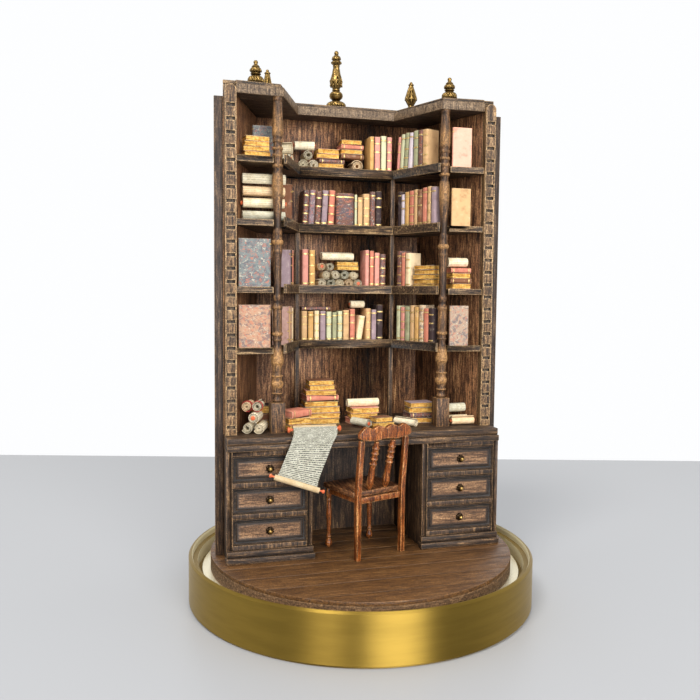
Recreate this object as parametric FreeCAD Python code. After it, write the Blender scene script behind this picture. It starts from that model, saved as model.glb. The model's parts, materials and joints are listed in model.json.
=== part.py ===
"""Miniature library bookcase with desk, drawers and chair, on a round brass display base.

Frame: +Z up, origin at the centre of the base's underside, front towards -Y. Millimetres.
"""
import FreeCAD, Part
import math
import os

from FreeCAD import Vector

# ---------------------------------------------------------------- driving sizes: display base
TRAY_R = 52.5
TRAY_H = 14.5
TRAY_WALL = 1.2
TRAY_SKIRT = 1.6
LEDGE_W = 1.5
LEDGE_DROP = 1.9
PLATE_R = 48.4
PLATE_T = 1.4
PLATE_TOP = 10.0
RIM_ROUND = 0.55

# ---------------------------------------------------------------- driving sizes: wooden floor
DISC_R = 46.0
DISC_T = 3.4
BOARD_T = 1.2
BOARD_W = 8.6
BOARD_GAP = 0.12

# ---------------------------------------------------------------- driving sizes: case
CASE_HALF = 42.3
SIDE_T = 2.6
LINING_T = 3.6
SPLAY_DEG = 20.5
CASE_DEPTH = 28.6
BACK_T = 2.2
CASE_TOP = 148.6
DESK_H = 36.4
POST_DEPTH = 2.5
POST_PROUD = 2.6
POST_RISE = 2.2
WING_SET = 1.8
WING_X = 24.7
WING_CORNER_Y = -0.9
RECESS_X = 16.1
RECESS_Y = 20.0
SHELF_T = 1.8
SHELF_UNDERSIDES = [130.4, 112.2, 92.6, 74.7]
EDGING_H = 2.7
EDGING_T = 0.9
UPRIGHT = 1.4
CORNICE_Z = 149.4
CORNICE_T = 2.7
CAP_T = 1.1
CAP_SET = 0.9

# ---------------------------------------------------------------- driving sizes: dentils, columns
DENTIL_PITCH = 3.85
DENTIL_H = 1.0
DENTIL_W = 2.5
DENTIL_D = 0.8
COLUMN_X = 26.3
COLUMN_Y = 0.4
COLUMN_BLOCK = 4.3
COLUMN_BLOCK_H = 9.0
COLUMN_R = 1.95
NOTCH_GAP = 0.06

# ---------------------------------------------------------------- driving sizes: desk and cabinets
DESK_FRONT = 8.2
DESK_LAYER = 2.0
DESK_LOWER = 1.8
DESK_LIP = 0.8
CABINET_FRONT = 8.0
CABINET_IN = 17.2
FRAME_T = 1.2
STILE_W = 1.7
RAIL_W = 1.5
PLINTH_H = 1.8
PLINTH_STEP = 0.9
DRAWERS = 3
DRAWER_GAP = 0.15
PANEL_T = 0.5
FIELD_T = 0.6
FIELD_IN = 1.7
BOX_DEPTH = 14.0
BOX_WALL = 0.8
BOX_CLEAR = 2.65
BOX_H = 6.0
PANEL_BOARD = 1.2
KNEE_BACK_Y = 19.0
KNOB_R = 1.25
KNOB_PLATE = 0.5
KNOB_BALL = 0.62

# ---------------------------------------------------------------- driving sizes: chair
CHAIR_X = -0.2
CHAIR_Y = -4.3
CHAIR_TURN = 20.0
CHAIR_HALF = 8.2
CHAIR_REACH = 8.0
SEAT_H = 18.6
SEAT_T = 1.6
SEAT_OVER = 0.9
CHAIR_H = 39.8
CHAIR_RAKE = 2.0
LEG_W = 1.7
CREST_H = 4.4
CREST_T = 1.5
SPINDLE_R = 1.15

# ---------------------------------------------------------------- driving sizes: books and scrolls
BOOK_DEPTH = 6.4
ANGLED_DEPTH = 5.0
BOOK_SET = 0.7
BOOK_GAP = 0.06
COVER_T = 1.1
COVER_W = 6.2
CENTRE_ROW = 32.2
ANGLED_ROW = 22.6
WING_ROW = 10.45

# ---------------------------------------------------------------- worked-out places
FLOOR_Z = PLATE_TOP + DISC_T + BOARD_T
SPLAY = math.tan(math.radians(SPLAY_DEG))
DESK_Z = FLOOR_Z + DESK_H
DESK_UNDER = DESK_Z - DESK_LAYER - DESK_LOWER
LINING_IN = CASE_HALF - LINING_T
COLUMN_OUT = COLUMN_X + COLUMN_R
WING_CLEAR = LINING_IN - COLUMN_OUT
CABINET_OUT = CASE_HALF + 0.2
ROW_FLOORS = [under + SHELF_T for under in SHELF_UNDERSIDES]
ROW_CEILINGS = [CORNICE_Z] + SHELF_UNDERSIDES[:3]
CORNICE_TOP = CORNICE_Z + CORNICE_T + CAP_T


# ---------------------------------------------------------------- shape helpers
def box(x0, x1, y0, y1, z0, z1):
    return Part.makeBox(x1 - x0, y1 - y0, z1 - z0, Vector(x0, y0, z0))


def prism(points, z0, z1):
    """Upright prism on a plan outline."""
    ring = [Vector(x, y, z0) for x, y in points]
    face = Part.Face(Part.makePolygon(ring + ring[:1]))
    return face.extrude(Vector(0, 0, z1 - z0))


def lathe(profile, x, y, z):
    """Solid of revolution about a vertical axis; profile is (radius, height) from bottom to top."""
    ring = [Vector(0, 0, profile[0][1])] + [Vector(r, 0, h) for r, h in profile]
    ring += [Vector(0, 0, profile[-1][1])]
    face = Part.Face(Part.makePolygon(ring + ring[:1]))
    solid = face.revolve(Vector(0, 0, 0), Vector(0, 0, 1), 360)
    solid.translate(Vector(x, y, z))
    return solid


def rod(start, end, radius):
    """Round bar between two points."""
    a = Vector(*start)
    run = Vector(*end) - a
    return Part.makeCylinder(radius, run.Length, a, run)


def mirrored(shape):
    return shape.mirror(Vector(0, 0, 0), Vector(1, 0, 0))


def both(shape):
    return [shape, mirrored(shape)]


def turned(shape, degrees, x, y):
    """Shape turned about its own vertical axis and set down at x, y."""
    copy = shape.copy()
    copy.rotate(Vector(0, 0, 0), Vector(0, 0, 1), degrees)
    copy.translate(Vector(x, y, 0))
    return copy


def save(name, solids):
    shape = solids[0] if len(solids) == 1 else Part.makeCompound(solids)
    shape.exportStep("parts/" + name + ".step")


def inner_x(y):
    """Inner face of the outer case side at depth y."""
    return CASE_HALF - SPLAY * max(y, 0.0)


def lining_x(y):
    """Inner face of the bookcase's side lining at depth y."""
    return LINING_IN - SPLAY * max(y, 0.0)


# ---------------------------------------------------------------- display base
def brass_tray():
    outer = TRAY_R
    inner = TRAY_R - TRAY_WALL
    ledge = inner - LEDGE_W
    plate_under = PLATE_TOP - PLATE_T
    section = [
        (0, 0), (outer - TRAY_SKIRT / 2, 0), (outer, TRAY_SKIRT / 2), (outer, TRAY_H - RIM_ROUND),
        (outer - RIM_ROUND, TRAY_H), (inner + RIM_ROUND / 2, TRAY_H), (inner, TRAY_H - RIM_ROUND),
        (inner, TRAY_H - LEDGE_DROP), (ledge, TRAY_H - LEDGE_DROP), (ledge, plate_under), (0, plate_under),
    ]
    ring = [Vector(r, 0, z) for r, z in section]
    face = Part.Face(Part.makePolygon(ring + ring[:1]))
    return face.revolve(Vector(0, 0, 0), Vector(0, 0, 1), 360)


def tray_plate():
    under = PLATE_TOP - PLATE_T
    return Part.makeCylinder(PLATE_R, PLATE_T, Vector(0, 0, under))


def floor_boards():
    """Planks laid side to side, trimmed to the round floor."""
    low = PLATE_TOP + DISC_T
    round_floor = Part.makeCylinder(DISC_R, BOARD_T, Vector(0, 0, low))
    count = math.ceil(2 * DISC_R / BOARD_W)
    first = -count * BOARD_W / 2
    boards = []
    for k in range(count):
        y = first + k * BOARD_W
        plank = box(-DISC_R, DISC_R, y + BOARD_GAP / 2, y + BOARD_W - BOARD_GAP / 2, low, low + BOARD_T)
        boards.append(plank.common(round_floor).Solids[0])
    return boards


# ---------------------------------------------------------------- case
def side_board():
    back = CASE_DEPTH + BACK_T
    plan = [(CASE_HALF, 0), (CASE_HALF + SIDE_T, 0), (inner_x(back) + SIDE_T, back), (inner_x(back), back)]
    return prism(plan, FLOOR_Z, CASE_TOP)


def side_lining():
    deep = CASE_DEPTH
    plan = [(LINING_IN, 0), (CASE_HALF, 0), (inner_x(deep), deep), (lining_x(deep), deep)]
    return prism(plan, DESK_Z, CORNICE_Z)


def back_panel():
    """Back of three upright boards."""
    back = CASE_DEPTH + BACK_T
    top = CORNICE_Z + CORNICE_T
    third = inner_x(back) / 3
    centre = box(-third, third, CASE_DEPTH, back, FLOOR_Z, top)
    plan = [(third, CASE_DEPTH), (inner_x(CASE_DEPTH), CASE_DEPTH), (inner_x(back), back), (third, back)]
    return [centre] + both(prism(plan, FLOOR_Z, top))


def dentil_post():
    """Square post with a row of square notches down its front and a rounded head."""
    top = CORNICE_Z + POST_RISE
    width = LINING_T - 0.3
    x0 = LINING_IN
    radius = width / 2
    post = box(x0, x0 + width, -POST_PROUD, 0, DESK_Z, top - radius)
    middle = Vector(x0 + radius, -POST_PROUD, top - radius)
    head = Part.makeCylinder(radius, POST_PROUD, middle, Vector(0, 1, 0))
    post = post.fuse(head).removeSplitter()
    notches = []
    z = DESK_Z + DENTIL_PITCH / 2
    while z + DENTIL_H < top - radius:
        side = x0 + (width - DENTIL_W) / 2
        notches.append(box(side, side + DENTIL_W, -POST_PROUD - 1, -POST_PROUD + DENTIL_D, z, z + DENTIL_H))
        z += DENTIL_PITCH
    return post.cut(Part.makeCompound(notches)).Solids[0]


def column():
    """Turned column on a square block, from the desk to the underside of the cornice."""
    tall = CORNICE_Z - DESK_Z
    r = COLUMN_R
    base = COLUMN_BLOCK_H
    turnings = [
        (0.77, 0.098), (0.59, 0.11), (0.67, 0.116), (0.87, 0.119), (0.69, 0.123), (0.72, 0.131),
        (0.79, 0.136), (0.96, 0.143), (0.97, 0.151), (0.79, 0.159), (0.77, 0.164), (0.79, 0.169),
        (0.92, 0.172), (0.77, 0.176), (0.72, 0.184), (0.77, 0.196), (0.82, 0.205), (0.97, 0.21), (1, 0.216),
        (0.95, 0.229), (0.86, 0.242), (0.77, 0.254), (0.61, 0.267), (0.59, 0.272), (0.61, 0.277),
        (0.77, 0.281), (0.67, 0.287), (0.69, 0.292), (0.85, 0.297), (0.85, 0.302), (0.72, 0.306),
        (0.73, 0.325), (0.7, 0.355), (0.68, 0.372), (0.77, 0.376), (0.8, 0.381), (0.67, 0.387),
        (0.51, 0.395), (0.67, 0.406), (0.69, 0.413), (0.56, 0.421), (0.56, 0.436), (0.59, 0.451),
        (0.61, 0.496), (0.64, 0.527), (0.72, 0.543), (0.77, 0.55), (0.69, 0.559), (0.72, 0.565),
        (0.9, 0.572), (0.92, 0.578), (0.72, 0.583), (0.64, 0.593), (0.72, 0.601), (0.69, 0.609),
        (0.54, 0.618), (0.56, 0.644), (0.64, 0.669), (0.73, 0.694), (0.81, 0.719), (0.84, 0.745),
        (0.82, 0.765), (0.77, 0.777), (0.61, 0.787), (0.64, 0.792), (0.82, 0.797), (0.84, 0.802),
        (0.69, 0.807), (0.74, 0.815), (0.69, 0.823), (0.8, 0.827), (0.8, 0.833), (0.67, 0.839),
        (0.67, 0.844), (0.8, 0.848), (0.8, 0.853), (0.64, 0.858), (0.64, 0.866), (0.77, 0.87),
        (0.77, 0.875), (0.67, 0.879), (0.77, 0.887), (0.84, 0.898), (0.81, 0.926), (0.73, 0.957),
        (0.67, 0.984), (0.61, 0.987), (0.7, 0.991)]
    profile = [(0.62 * r, base)] + [(share * r, part * tall) for share, part in turnings]
    profile.append((0.70 * r, tall))
    shaft = lathe(profile, COLUMN_X, COLUMN_Y, DESK_Z)
    half = COLUMN_BLOCK / 2
    block = box(COLUMN_X - half, COLUMN_X + half, COLUMN_Y - half, COLUMN_Y + half, DESK_Z, DESK_Z + base)
    return shaft.fuse(block)


def column_notch(z0, z1):
    """Room for both columns through a shelf or the cornice."""
    tool = Part.makeCylinder(COLUMN_R + NOTCH_GAP, z1 - z0, Vector(COLUMN_X, COLUMN_Y, z0))
    return Part.makeCompound(both(tool))


def centre_plan(front_y, back_y):
    """Plan of the middle board between the two mitre lines."""
    run = (lining_x(CASE_DEPTH) - RECESS_X) / (CASE_DEPTH - RECESS_Y)
    wide = RECESS_X + run * (back_y - RECESS_Y)
    near = RECESS_X + run * (front_y - RECESS_Y)
    return [(-near, front_y), (near, front_y), (wide, back_y), (-wide, back_y)]


def shelf(under):
    top = under + SHELF_T
    centre = prism(centre_plan(RECESS_Y, CASE_DEPTH), under, top)
    wing = prism([
        (RECESS_X, RECESS_Y), (WING_X, WING_CORNER_Y), (LINING_IN, -WING_SET), (LINING_IN, 0),
        (lining_x(CASE_DEPTH), CASE_DEPTH)], under, top)
    notch = column_notch(under - 1, under + EDGING_H + 1)
    solids = [centre] + [side.cut(notch).Solids[0] for side in both(wing)]
    centre_edge = box(-RECESS_X, RECESS_X, RECESS_Y - EDGING_T, RECESS_Y, under, under + EDGING_H)
    run = Vector(WING_X - RECESS_X, WING_CORNER_Y - RECESS_Y, 0)
    run.normalize()
    out = Vector(run.y, -run.x, 0)
    a = Vector(RECESS_X, RECESS_Y, 0)
    b = Vector(WING_X, WING_CORNER_Y, 0) - run * 0.3
    mitre = a + Vector(-0.36, -1.0, 0) * EDGING_T
    edge_plan = [(a.x, a.y), (b.x, b.y), (b.x + out.x * EDGING_T, b.y + out.y * EDGING_T), (mitre.x, mitre.y)]
    angled_edge = prism(edge_plan, under, under + EDGING_H).cut(notch)
    centre_edge = centre_edge.cut(Part.makeCompound(both(prism(edge_plan, under - 1, under + EDGING_H + 1))))
    return solids + [centre_edge.Solids[0]] + both(angled_edge.Solids[0])


def cornice(low, thick, inset, behind_posts):
    """One layer of the cornice: middle board and two wing boards."""
    front = RECESS_Y + inset
    centre = prism(centre_plan(front, CASE_DEPTH), low, low + thick)
    corner = (WING_X + inset * 0.8, WING_CORNER_Y + inset)
    recess = centre_plan(front, CASE_DEPTH)[1]
    outline = [recess, corner, (LINING_IN, -WING_SET + inset), (LINING_IN, 0)]
    if behind_posts:
        outline += [(CASE_HALF, 0), (inner_x(CASE_DEPTH), CASE_DEPTH)]
    outline.append((lining_x(CASE_DEPTH), CASE_DEPTH))
    return [centre] + both(prism(outline, low, low + thick))


def corner_uprights():
    """Square sticks between the shelves where the middle bay meets the angled bays."""
    half = UPRIGHT / 2
    centre_y = RECESS_Y + half + 0.1
    bays = [(DESK_Z, SHELF_UNDERSIDES[3]), (ROW_FLOORS[3], SHELF_UNDERSIDES[2]),
            (ROW_FLOORS[2], SHELF_UNDERSIDES[1])]
    right_bays = bays + [(ROW_FLOORS[1], SHELF_UNDERSIDES[0])]
    sticks = []
    for z0, z1 in bays:
        sticks.append(box(-RECESS_X - half, -RECESS_X + half, centre_y - half, centre_y + half, z0, z1))
    for z0, z1 in right_bays:
        sticks.append(box(RECESS_X - half, RECESS_X + half, centre_y - half, centre_y + half, z0, z1))
    return sticks


# ---------------------------------------------------------------- finials
def finial(profile, x, y):
    return lathe(profile, x, y, CORNICE_TOP)


TALL_FINIAL = [
    (3.0, 0), (3.3, 0.9), (2.6, 2.0), (1.3, 2.3), (1.6, 2.9), (2.2, 3.9), (1.7, 5.0), (1.1, 5.6), (1.9, 7.2),
    (2.1, 8.6), (1.5, 10.6), (1.0, 13.2), (1.1, 13.5), (1.7, 14.4), (1.6, 15.2), (1.1, 16.0),
    (0.9, 17.2), (0.3, 18.4),
]
SQUAT_FINIAL = [
    (2.0, 0), (2.4, 0.9), (2.2, 1.9), (1.2, 2.6), (1.5, 3.2), (1.8, 4.0), (1.1, 4.9), (0.9, 5.9), (0.3, 6.9),
]
CONE_FINIAL = [(1.7, 0), (1.9, 0.8), (1.4, 3.0), (0.7, 5.4), (0.9, 6.0), (0.3, 6.7)]
DROP_FINIAL = [(0.8, 0), (1.1, 0.6), (2.0, 2.6), (1.6, 4.6), (0.8, 6.8), (0.9, 7.4), (0.3, 8.3)]
FRONT_FINIALS = [(-32.4, 2.6), (28.4, 2.8)]
TALL_FINIAL_PLACE = (-2.6, 24.2)
CONE_FINIAL_PLACE = (-27.6, 10.6)
DROP_FINIAL_PLACE = (20.6, 16.4)


# ---------------------------------------------------------------- desk and cabinets
def desk_top():
    low = DESK_Z - DESK_LAYER
    plan = [(CASE_HALF, -DESK_FRONT), (CASE_HALF, 0), (inner_x(CASE_DEPTH), CASE_DEPTH)]
    return prism(plan + [(-x, y) for x, y in reversed(plan)], low, DESK_Z)


def desk_moulding():
    """Lower layer of the desk top, standing a little proud along the front."""
    plan = [(CASE_HALF, -DESK_FRONT - DESK_LIP), (CASE_HALF, 0), (inner_x(CASE_DEPTH), CASE_DEPTH)]
    return prism(plan + [(-x, y) for x, y in reversed(plan)], DESK_UNDER, DESK_Z - DESK_LAYER)


FRAME_BACK = -CABINET_FRONT + FRAME_T
FRAME_LOW = FLOOR_Z + 2 * PLINTH_H
OPEN_IN = CABINET_IN + STILE_W
OPEN_OUT = CABINET_OUT - STILE_W
OPEN_H = (DESK_UNDER - FRAME_LOW - RAIL_W * (DRAWERS + 1)) / DRAWERS
OPEN_MID = (OPEN_IN + OPEN_OUT) / 2


def opening_floor(row):
    """Height of the floor of a drawer opening; row 0 is the lowest."""
    return FRAME_LOW + RAIL_W + row * (OPEN_H + RAIL_W)


def face_frame():
    """Two stiles and the rails between them."""
    y0 = -CABINET_FRONT
    parts = [
        box(CABINET_IN, OPEN_IN, y0, FRAME_BACK, FRAME_LOW, DESK_UNDER),
        box(OPEN_OUT, CABINET_OUT, y0, FRAME_BACK, FRAME_LOW, DESK_UNDER),
    ]
    for row in range(DRAWERS + 1):
        z = FRAME_LOW + row * (OPEN_H + RAIL_W)
        parts.append(box(OPEN_IN, OPEN_OUT, y0, FRAME_BACK, z, z + RAIL_W))
    return parts


BOX_BACK = FRAME_BACK + BOX_DEPTH + 0.4


def cabinet_boards():
    """Inner side, short outer side, back, floor and the boards that the drawers run on."""
    back = BOX_BACK + PANEL_BOARD
    side_in = CABINET_IN + PANEL_BOARD
    outer = CASE_HALF - 0.05
    boards = [
        box(CABINET_IN, side_in, FRAME_BACK, KNEE_BACK_Y, FLOOR_Z, DESK_UNDER),
        box(outer - PANEL_BOARD, outer, FRAME_BACK, 0, FLOOR_Z, DESK_UNDER),
        box(side_in, inner_x(back), BOX_BACK, back, FLOOR_Z, DESK_UNDER),
    ]
    plan = [
        (side_in, FRAME_BACK), (outer - PANEL_BOARD, FRAME_BACK), (outer - PANEL_BOARD, 0),
        (inner_x(BOX_BACK) - 0.05, BOX_BACK), (side_in, BOX_BACK)]
    for row in range(DRAWERS):
        z = opening_floor(row)
        boards.append(prism(plan, z - PANEL_BOARD, z))
    return boards


def plinth():
    """Two stepped base mouldings."""
    low = box(CABINET_IN - PLINTH_STEP * 0.7, CASE_HALF + PLINTH_STEP * 0.4,
              -CABINET_FRONT - 2 * PLINTH_STEP, FRAME_BACK,
              FLOOR_Z, FLOOR_Z + PLINTH_H)
    high = box(CABINET_IN - PLINTH_STEP * 0.3, CASE_HALF + PLINTH_STEP * 0.2,
               -CABINET_FRONT - PLINTH_STEP, FRAME_BACK,
               FLOOR_Z + PLINTH_H, FRAME_LOW)
    return [low, high]


def drawer_front(row):
    """Fielded panel: a thin slab with a raised, bevelled field."""
    x0 = OPEN_IN + DRAWER_GAP
    x1 = OPEN_OUT - DRAWER_GAP
    z0 = opening_floor(row) + DRAWER_GAP
    z1 = z0 + OPEN_H - 2 * DRAWER_GAP
    slab = box(x0, x1, FRAME_BACK - PANEL_T, FRAME_BACK, z0, z1)
    base_y = FRAME_BACK - PANEL_T
    rings = []
    for inset, y in ((0.0, base_y), (FIELD_IN, base_y - FIELD_T)):
        ring = [Vector(x0 + inset, y, z0 + inset), Vector(x1 - inset, y, z0 + inset),
                Vector(x1 - inset, y, z1 - inset), Vector(x0 + inset, y, z1 - inset)]
        rings.append(Part.makePolygon(ring + ring[:1]))
    field = Part.makeLoft(rings, True, True)
    return slab.fuse(field).removeSplitter()


def drawer_box(row):
    """Open-topped tray of four walls and a bottom."""
    z0 = opening_floor(row) + DRAWER_GAP
    z1 = z0 + BOX_H
    x0 = OPEN_IN + BOX_CLEAR
    x1 = OPEN_OUT - BOX_CLEAR
    y1 = FRAME_BACK + BOX_DEPTH
    wall = BOX_WALL
    return [
        box(x0, x1, FRAME_BACK, y1, z0, z0 + wall),
        box(x0, x0 + wall, FRAME_BACK, y1, z0 + wall, z1),
        box(x1 - wall, x1, FRAME_BACK, y1, z0 + wall, z1),
        box(x0 + wall, x1 - wall, y1 - wall, y1, z0 + wall, z1),
        box(x0 + wall, x1 - wall, FRAME_BACK, FRAME_BACK + wall, z0 + wall, z1),
    ]


def drawer_knob(row):
    """Round rosette with a small ball in its middle."""
    z = opening_floor(row) + OPEN_H / 2
    profile = [(KNOB_R, 0), (KNOB_R, KNOB_PLATE * 0.6), (KNOB_R * 0.7, KNOB_PLATE),
               (KNOB_BALL * 0.8, KNOB_PLATE)]
    profile += [(KNOB_BALL, KNOB_PLATE + 0.5), (KNOB_BALL * 0.8, KNOB_PLATE + 1.0), (0.15, KNOB_PLATE + 1.25)]
    knob = lathe(profile, 0, 0, 0)
    knob.rotate(Vector(0, 0, 0), Vector(1, 0, 0), 90)
    knob.translate(Vector(OPEN_MID, FRAME_BACK - PANEL_T - FIELD_T, z))
    return knob


# ---------------------------------------------------------------- chair, drawn facing +Y about its own centre
def chair_place(solids):
    return [turned(solid, CHAIR_TURN, CHAIR_X, CHAIR_Y) for solid in solids]


SEAT_TOP = FLOOR_Z + SEAT_H + SEAT_T
SEAT_LOW = FLOOR_Z + SEAT_H


def rake_y(z):
    """Depth of the back's middle plane at height z."""
    rise = max(z - SEAT_TOP, 0.0) / (CHAIR_H - SEAT_H - SEAT_T)
    return -CHAIR_REACH - CHAIR_RAKE * rise


def chair_seat():
    front = CHAIR_REACH + SEAT_OVER
    rear = -CHAIR_REACH + LEG_W / 2 + 0.02
    half = CHAIR_HALF + SEAT_OVER
    return [prism([(-half, rear), (half, rear), (half, front), (-half, front)], SEAT_LOW, SEAT_TOP)]


def chair_back_legs():
    """Square stiles from the floor to the crest rail, raked above the seat."""
    top = FLOOR_Z + CHAIR_H - CREST_H + 0.4
    half = LEG_W / 2
    lean = rake_y(top)
    side = [(-CHAIR_REACH - half, FLOOR_Z), (-CHAIR_REACH + half, FLOOR_Z), (-CHAIR_REACH + half, SEAT_TOP),
            (lean + half * 0.8, top), (lean - half * 0.8, top), (-CHAIR_REACH - half, SEAT_TOP)]
    x = CHAIR_HALF
    ring = [Vector(x - half * 0.9, y, z) for y, z in side]
    leg = Part.Face(Part.makePolygon(ring + ring[:1])).extrude(Vector(LEG_W * 0.9, 0, 0))
    return both(leg)


def chair_front_legs():
    """Turned legs with ball feet."""
    r = LEG_W / 2
    profile = [
        (0.5 * r, 0), (1.15 * r, 0.7), (1.25 * r, 1.5), (0.9 * r, 2.4), (0.6 * r, 2.8), (1.0 * r, 3.4),
        (0.62 * r, 4.0),
        (0.8 * r, 7.0), (1.0 * r, 11.0), (0.75 * r, 14.2), (1.05 * r, 14.8), (0.75 * r, 15.4),
        (1.0 * r, 16.2),
        (1.0 * r, SEAT_H),
    ]
    return both(lathe(profile, CHAIR_HALF - 0.4, CHAIR_REACH - 0.4, FLOOR_Z))


def chair_seat_rails():
    """Rails under the seat between the legs."""
    low = SEAT_LOW - 1.7
    x = CHAIR_HALF - 0.4
    y = CHAIR_REACH - 0.4
    r = LEG_W / 2
    rails = [
        box(-x + r + 0.1, x - r - 0.1, y - 0.5, y + 0.5, low, SEAT_LOW),
        box(-x + r - 0.2, x - r + 0.2, -CHAIR_REACH - 0.5, -CHAIR_REACH + 0.5, low, SEAT_LOW),
    ]
    return rails + both(box(x - 0.5, x + 0.5, -CHAIR_REACH + r + 0.02, y - r - 0.15, low, SEAT_LOW))


def chair_crest_rail():
    """Scalloped board across the top of the stiles."""
    top = FLOOR_Z + CHAIR_H
    low = top - CREST_H
    half = CHAIR_HALF + 1.3
    y = rake_y(top) - CREST_T / 2
    scallop = CREST_H * 0.11
    steps = 56
    upper = []
    for k in range(steps + 1):
        t = k / steps
        x = -half + 2 * half * t
        wave = abs(math.sin(4 * math.pi * t)) ** 0.8
        ends = min(1.0, math.sin(math.pi * t) * 2.6)
        upper.append((x, top - 2 * scallop * (1 - wave) - CREST_H * 0.22 * (1 - ends)))
    lower = [(half, low + 1.1), (half - 1.6, low + 0.5), (half * 0.45, low), (0, low + 0.5)]
    lower += [(-x, z) for x, z in reversed(lower[:-1])]
    ring = [Vector(x, y, z) for x, z in upper + lower]
    board = Part.Face(Part.makePolygon(ring + ring[:1])).extrude(Vector(0, CREST_T, 0))
    return board


def chair_spindles():
    """Two turned bars between the seat and the crest rail."""
    foot_y = -CHAIR_REACH + LEG_W
    head_y = rake_y(FLOOR_Z + CHAIR_H)
    rise = CHAIR_H - CREST_H - SEAT_H - SEAT_T - 0.45
    tall = math.hypot(rise, head_y - foot_y)
    r = SPINDLE_R
    beads = 4
    profile = [(0.6 * r, 0)]
    for k in range(beads):
        z = tall * (0.50 + 0.11 * k)
        profile += [(0.78 * r, z), (1.05 * r, z + tall * 0.035), (0.78 * r, z + tall * 0.07)]
    profile.insert(1, (1.0 * r, tall * 0.12))
    profile.insert(2, (0.78 * r, tall * 0.40))
    profile.append((0.62 * r, tall))
    bar = lathe(profile, 0, 0, 0)
    lean = math.degrees(math.atan2(foot_y - head_y, rise))
    bar.rotate(Vector(0, 0, 0), Vector(1, 0, 0), lean)
    bar.translate(Vector(3.0, foot_y, SEAT_TOP + 0.22))
    return both(bar)


# ---------------------------------------------------------------- books
class Bay:
    """A straight run of shelf front; x runs along it, y away from the reader, z up."""

    def __init__(self, x, y, degrees, length, depth, filled):
        self.x = x
        self.y = y
        self.degrees = degrees
        self.fit = length / filled
        self.depth = depth

    def put(self, shape):
        return turned(shape, self.degrees, self.x, self.y)


ANGLE_RUN = math.hypot(WING_X - RECESS_X, RECESS_Y - WING_CORNER_Y)
ANGLE_DEG = math.degrees(math.atan2(RECESS_Y - WING_CORNER_Y, WING_X - RECESS_X))
CENTRE_BAY = Bay(-RECESS_X, RECESS_Y, 0.0, 2 * RECESS_X, BOOK_DEPTH, CENTRE_ROW)
RIGHT_BAY = Bay(RECESS_X, RECESS_Y, -ANGLE_DEG, ANGLE_RUN, ANGLED_DEPTH, ANGLED_ROW)
LEFT_BAY = Bay(-WING_X, WING_CORNER_Y, ANGLE_DEG, ANGLE_RUN, ANGLED_DEPTH, ANGLED_ROW)


def standing(bay, start, floor, sizes):
    """Books side by side from start along the bay; sizes are (thickness, height, lean in degrees).

    A book that leans has its head to the right, and its lower right edge stays on the shelf.
    """
    books = []
    x = start * bay.fit
    leaning = 0.0
    for drawn, tall, lean in sizes:
        thick = drawn * bay.fit
        tilt = math.radians(lean)
        if leaning and not lean:
            x += leaning
        leaning = tall * math.sin(tilt)
        edge = x + thick / math.cos(tilt)
        book = box(edge - thick + BOOK_GAP, edge, BOOK_SET, BOOK_SET + bay.depth, 0, tall)
        book.rotate(Vector(edge, 0, 0), Vector(0, 1, 0), lean)
        book.translate(Vector(0, 0, floor + 0.02))
        books.append(bay.put(book))
        x = edge
    return books


ROW_1_CENTRE = (24.2, [(1.6, 11.9, 0), (2.2, 11.9, 0), (2.1, 12.3, 0), (1.9, 12.0, 0)])
ROW_1_RIGHT = (0.5, [(1.5, 11.8, 4), (1.9, 12.4, 4), (2.0, 12.6, 4), (1.9, 12.4, 4), (2.2, 12.7, 0),
                     (2.0, 12.6, 0), (2.4, 12.5, 0)])
ROW_2_CENTRE = (1.5, [(2.0, 11.7, 3), (2.1, 11.9, 3), (2.1, 11.5, 3), (2.2, 11.9, 3), (2.3, 12.0, 3),
                      (6.3, 11.3, 0),
                      (1.0, 11.0, 0), (2.0, 10.2, 0), (2.4, 11.4, 0), (1.9, 12.2, 0), (2.2, 12.4, 0)])
ROW_2_RIGHT = (1.4, [(1.7, 12.2, 0), (1.8, 11.2, 0), (2.1, 11.8, 0), (2.3, 12.0, 0), (1.7, 12.2, 0),
                     (2.2, 12.0, 0),
                     (2.3, 12.4, 0), (1.7, 12.6, 0), (2.2, 12.3, 0)])
ROW_2_LEFT = (15.2, [(2.4, 12.4, 0), (2.2, 12.0, 0)])
ROW_3_CENTRE_LEFT = (1.6, [(2.3, 12.4, 0), (2.2, 12.2, 0)])
ROW_3_CENTRE_RIGHT = (23.0, [(1.5, 12.6, 0), (1.7, 12.4, 0), (2.0, 11.8, 0), (2.1, 11.4, 0)])
ROW_3_RIGHT = (1.4, [(2.1, 12.4, 0), (2.0, 11.8, 0), (2.3, 11.6, 0)])
ROW_3_LEFT = (13.0, [(2.6, 11.6, 0), (2.2, 11.8, 0), (2.2, 11.8, 0)])
ROW_4_CENTRE = (1.5, [(2.1, 10.3, 0), (2.1, 10.2, 0), (1.9, 10.4, 0), (2.2, 10.3, 0), (2.0, 10.1, 0),
                      (1.8, 9.9, 0),
                      (1.9, 10.3, 0), (2.3, 10.6, 0), (2.0, 11.0, 0), (2.2, 8.7, 9), (1.9, 11.2, 0),
                      (2.0, 10.8, 0),
                      (2.2, 12.4, 0)])
ROW_4_RIGHT = (1.4, [(2.0, 12.2, 0), (2.2, 11.8, 0), (2.5, 12.0, 0), (2.1, 12.4, 0), (2.2, 12.0, 0),
                     (2.2, 12.6, 0),
                     (2.4, 11.6, 0), (2.2, 11.8, 0)])
ROW_4_LEFT = (10.6, [(2.2, 11.8, 0), (2.4, 11.4, 0), (2.3, 11.9, 0), (2.3, 11.4, 0)])


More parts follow.
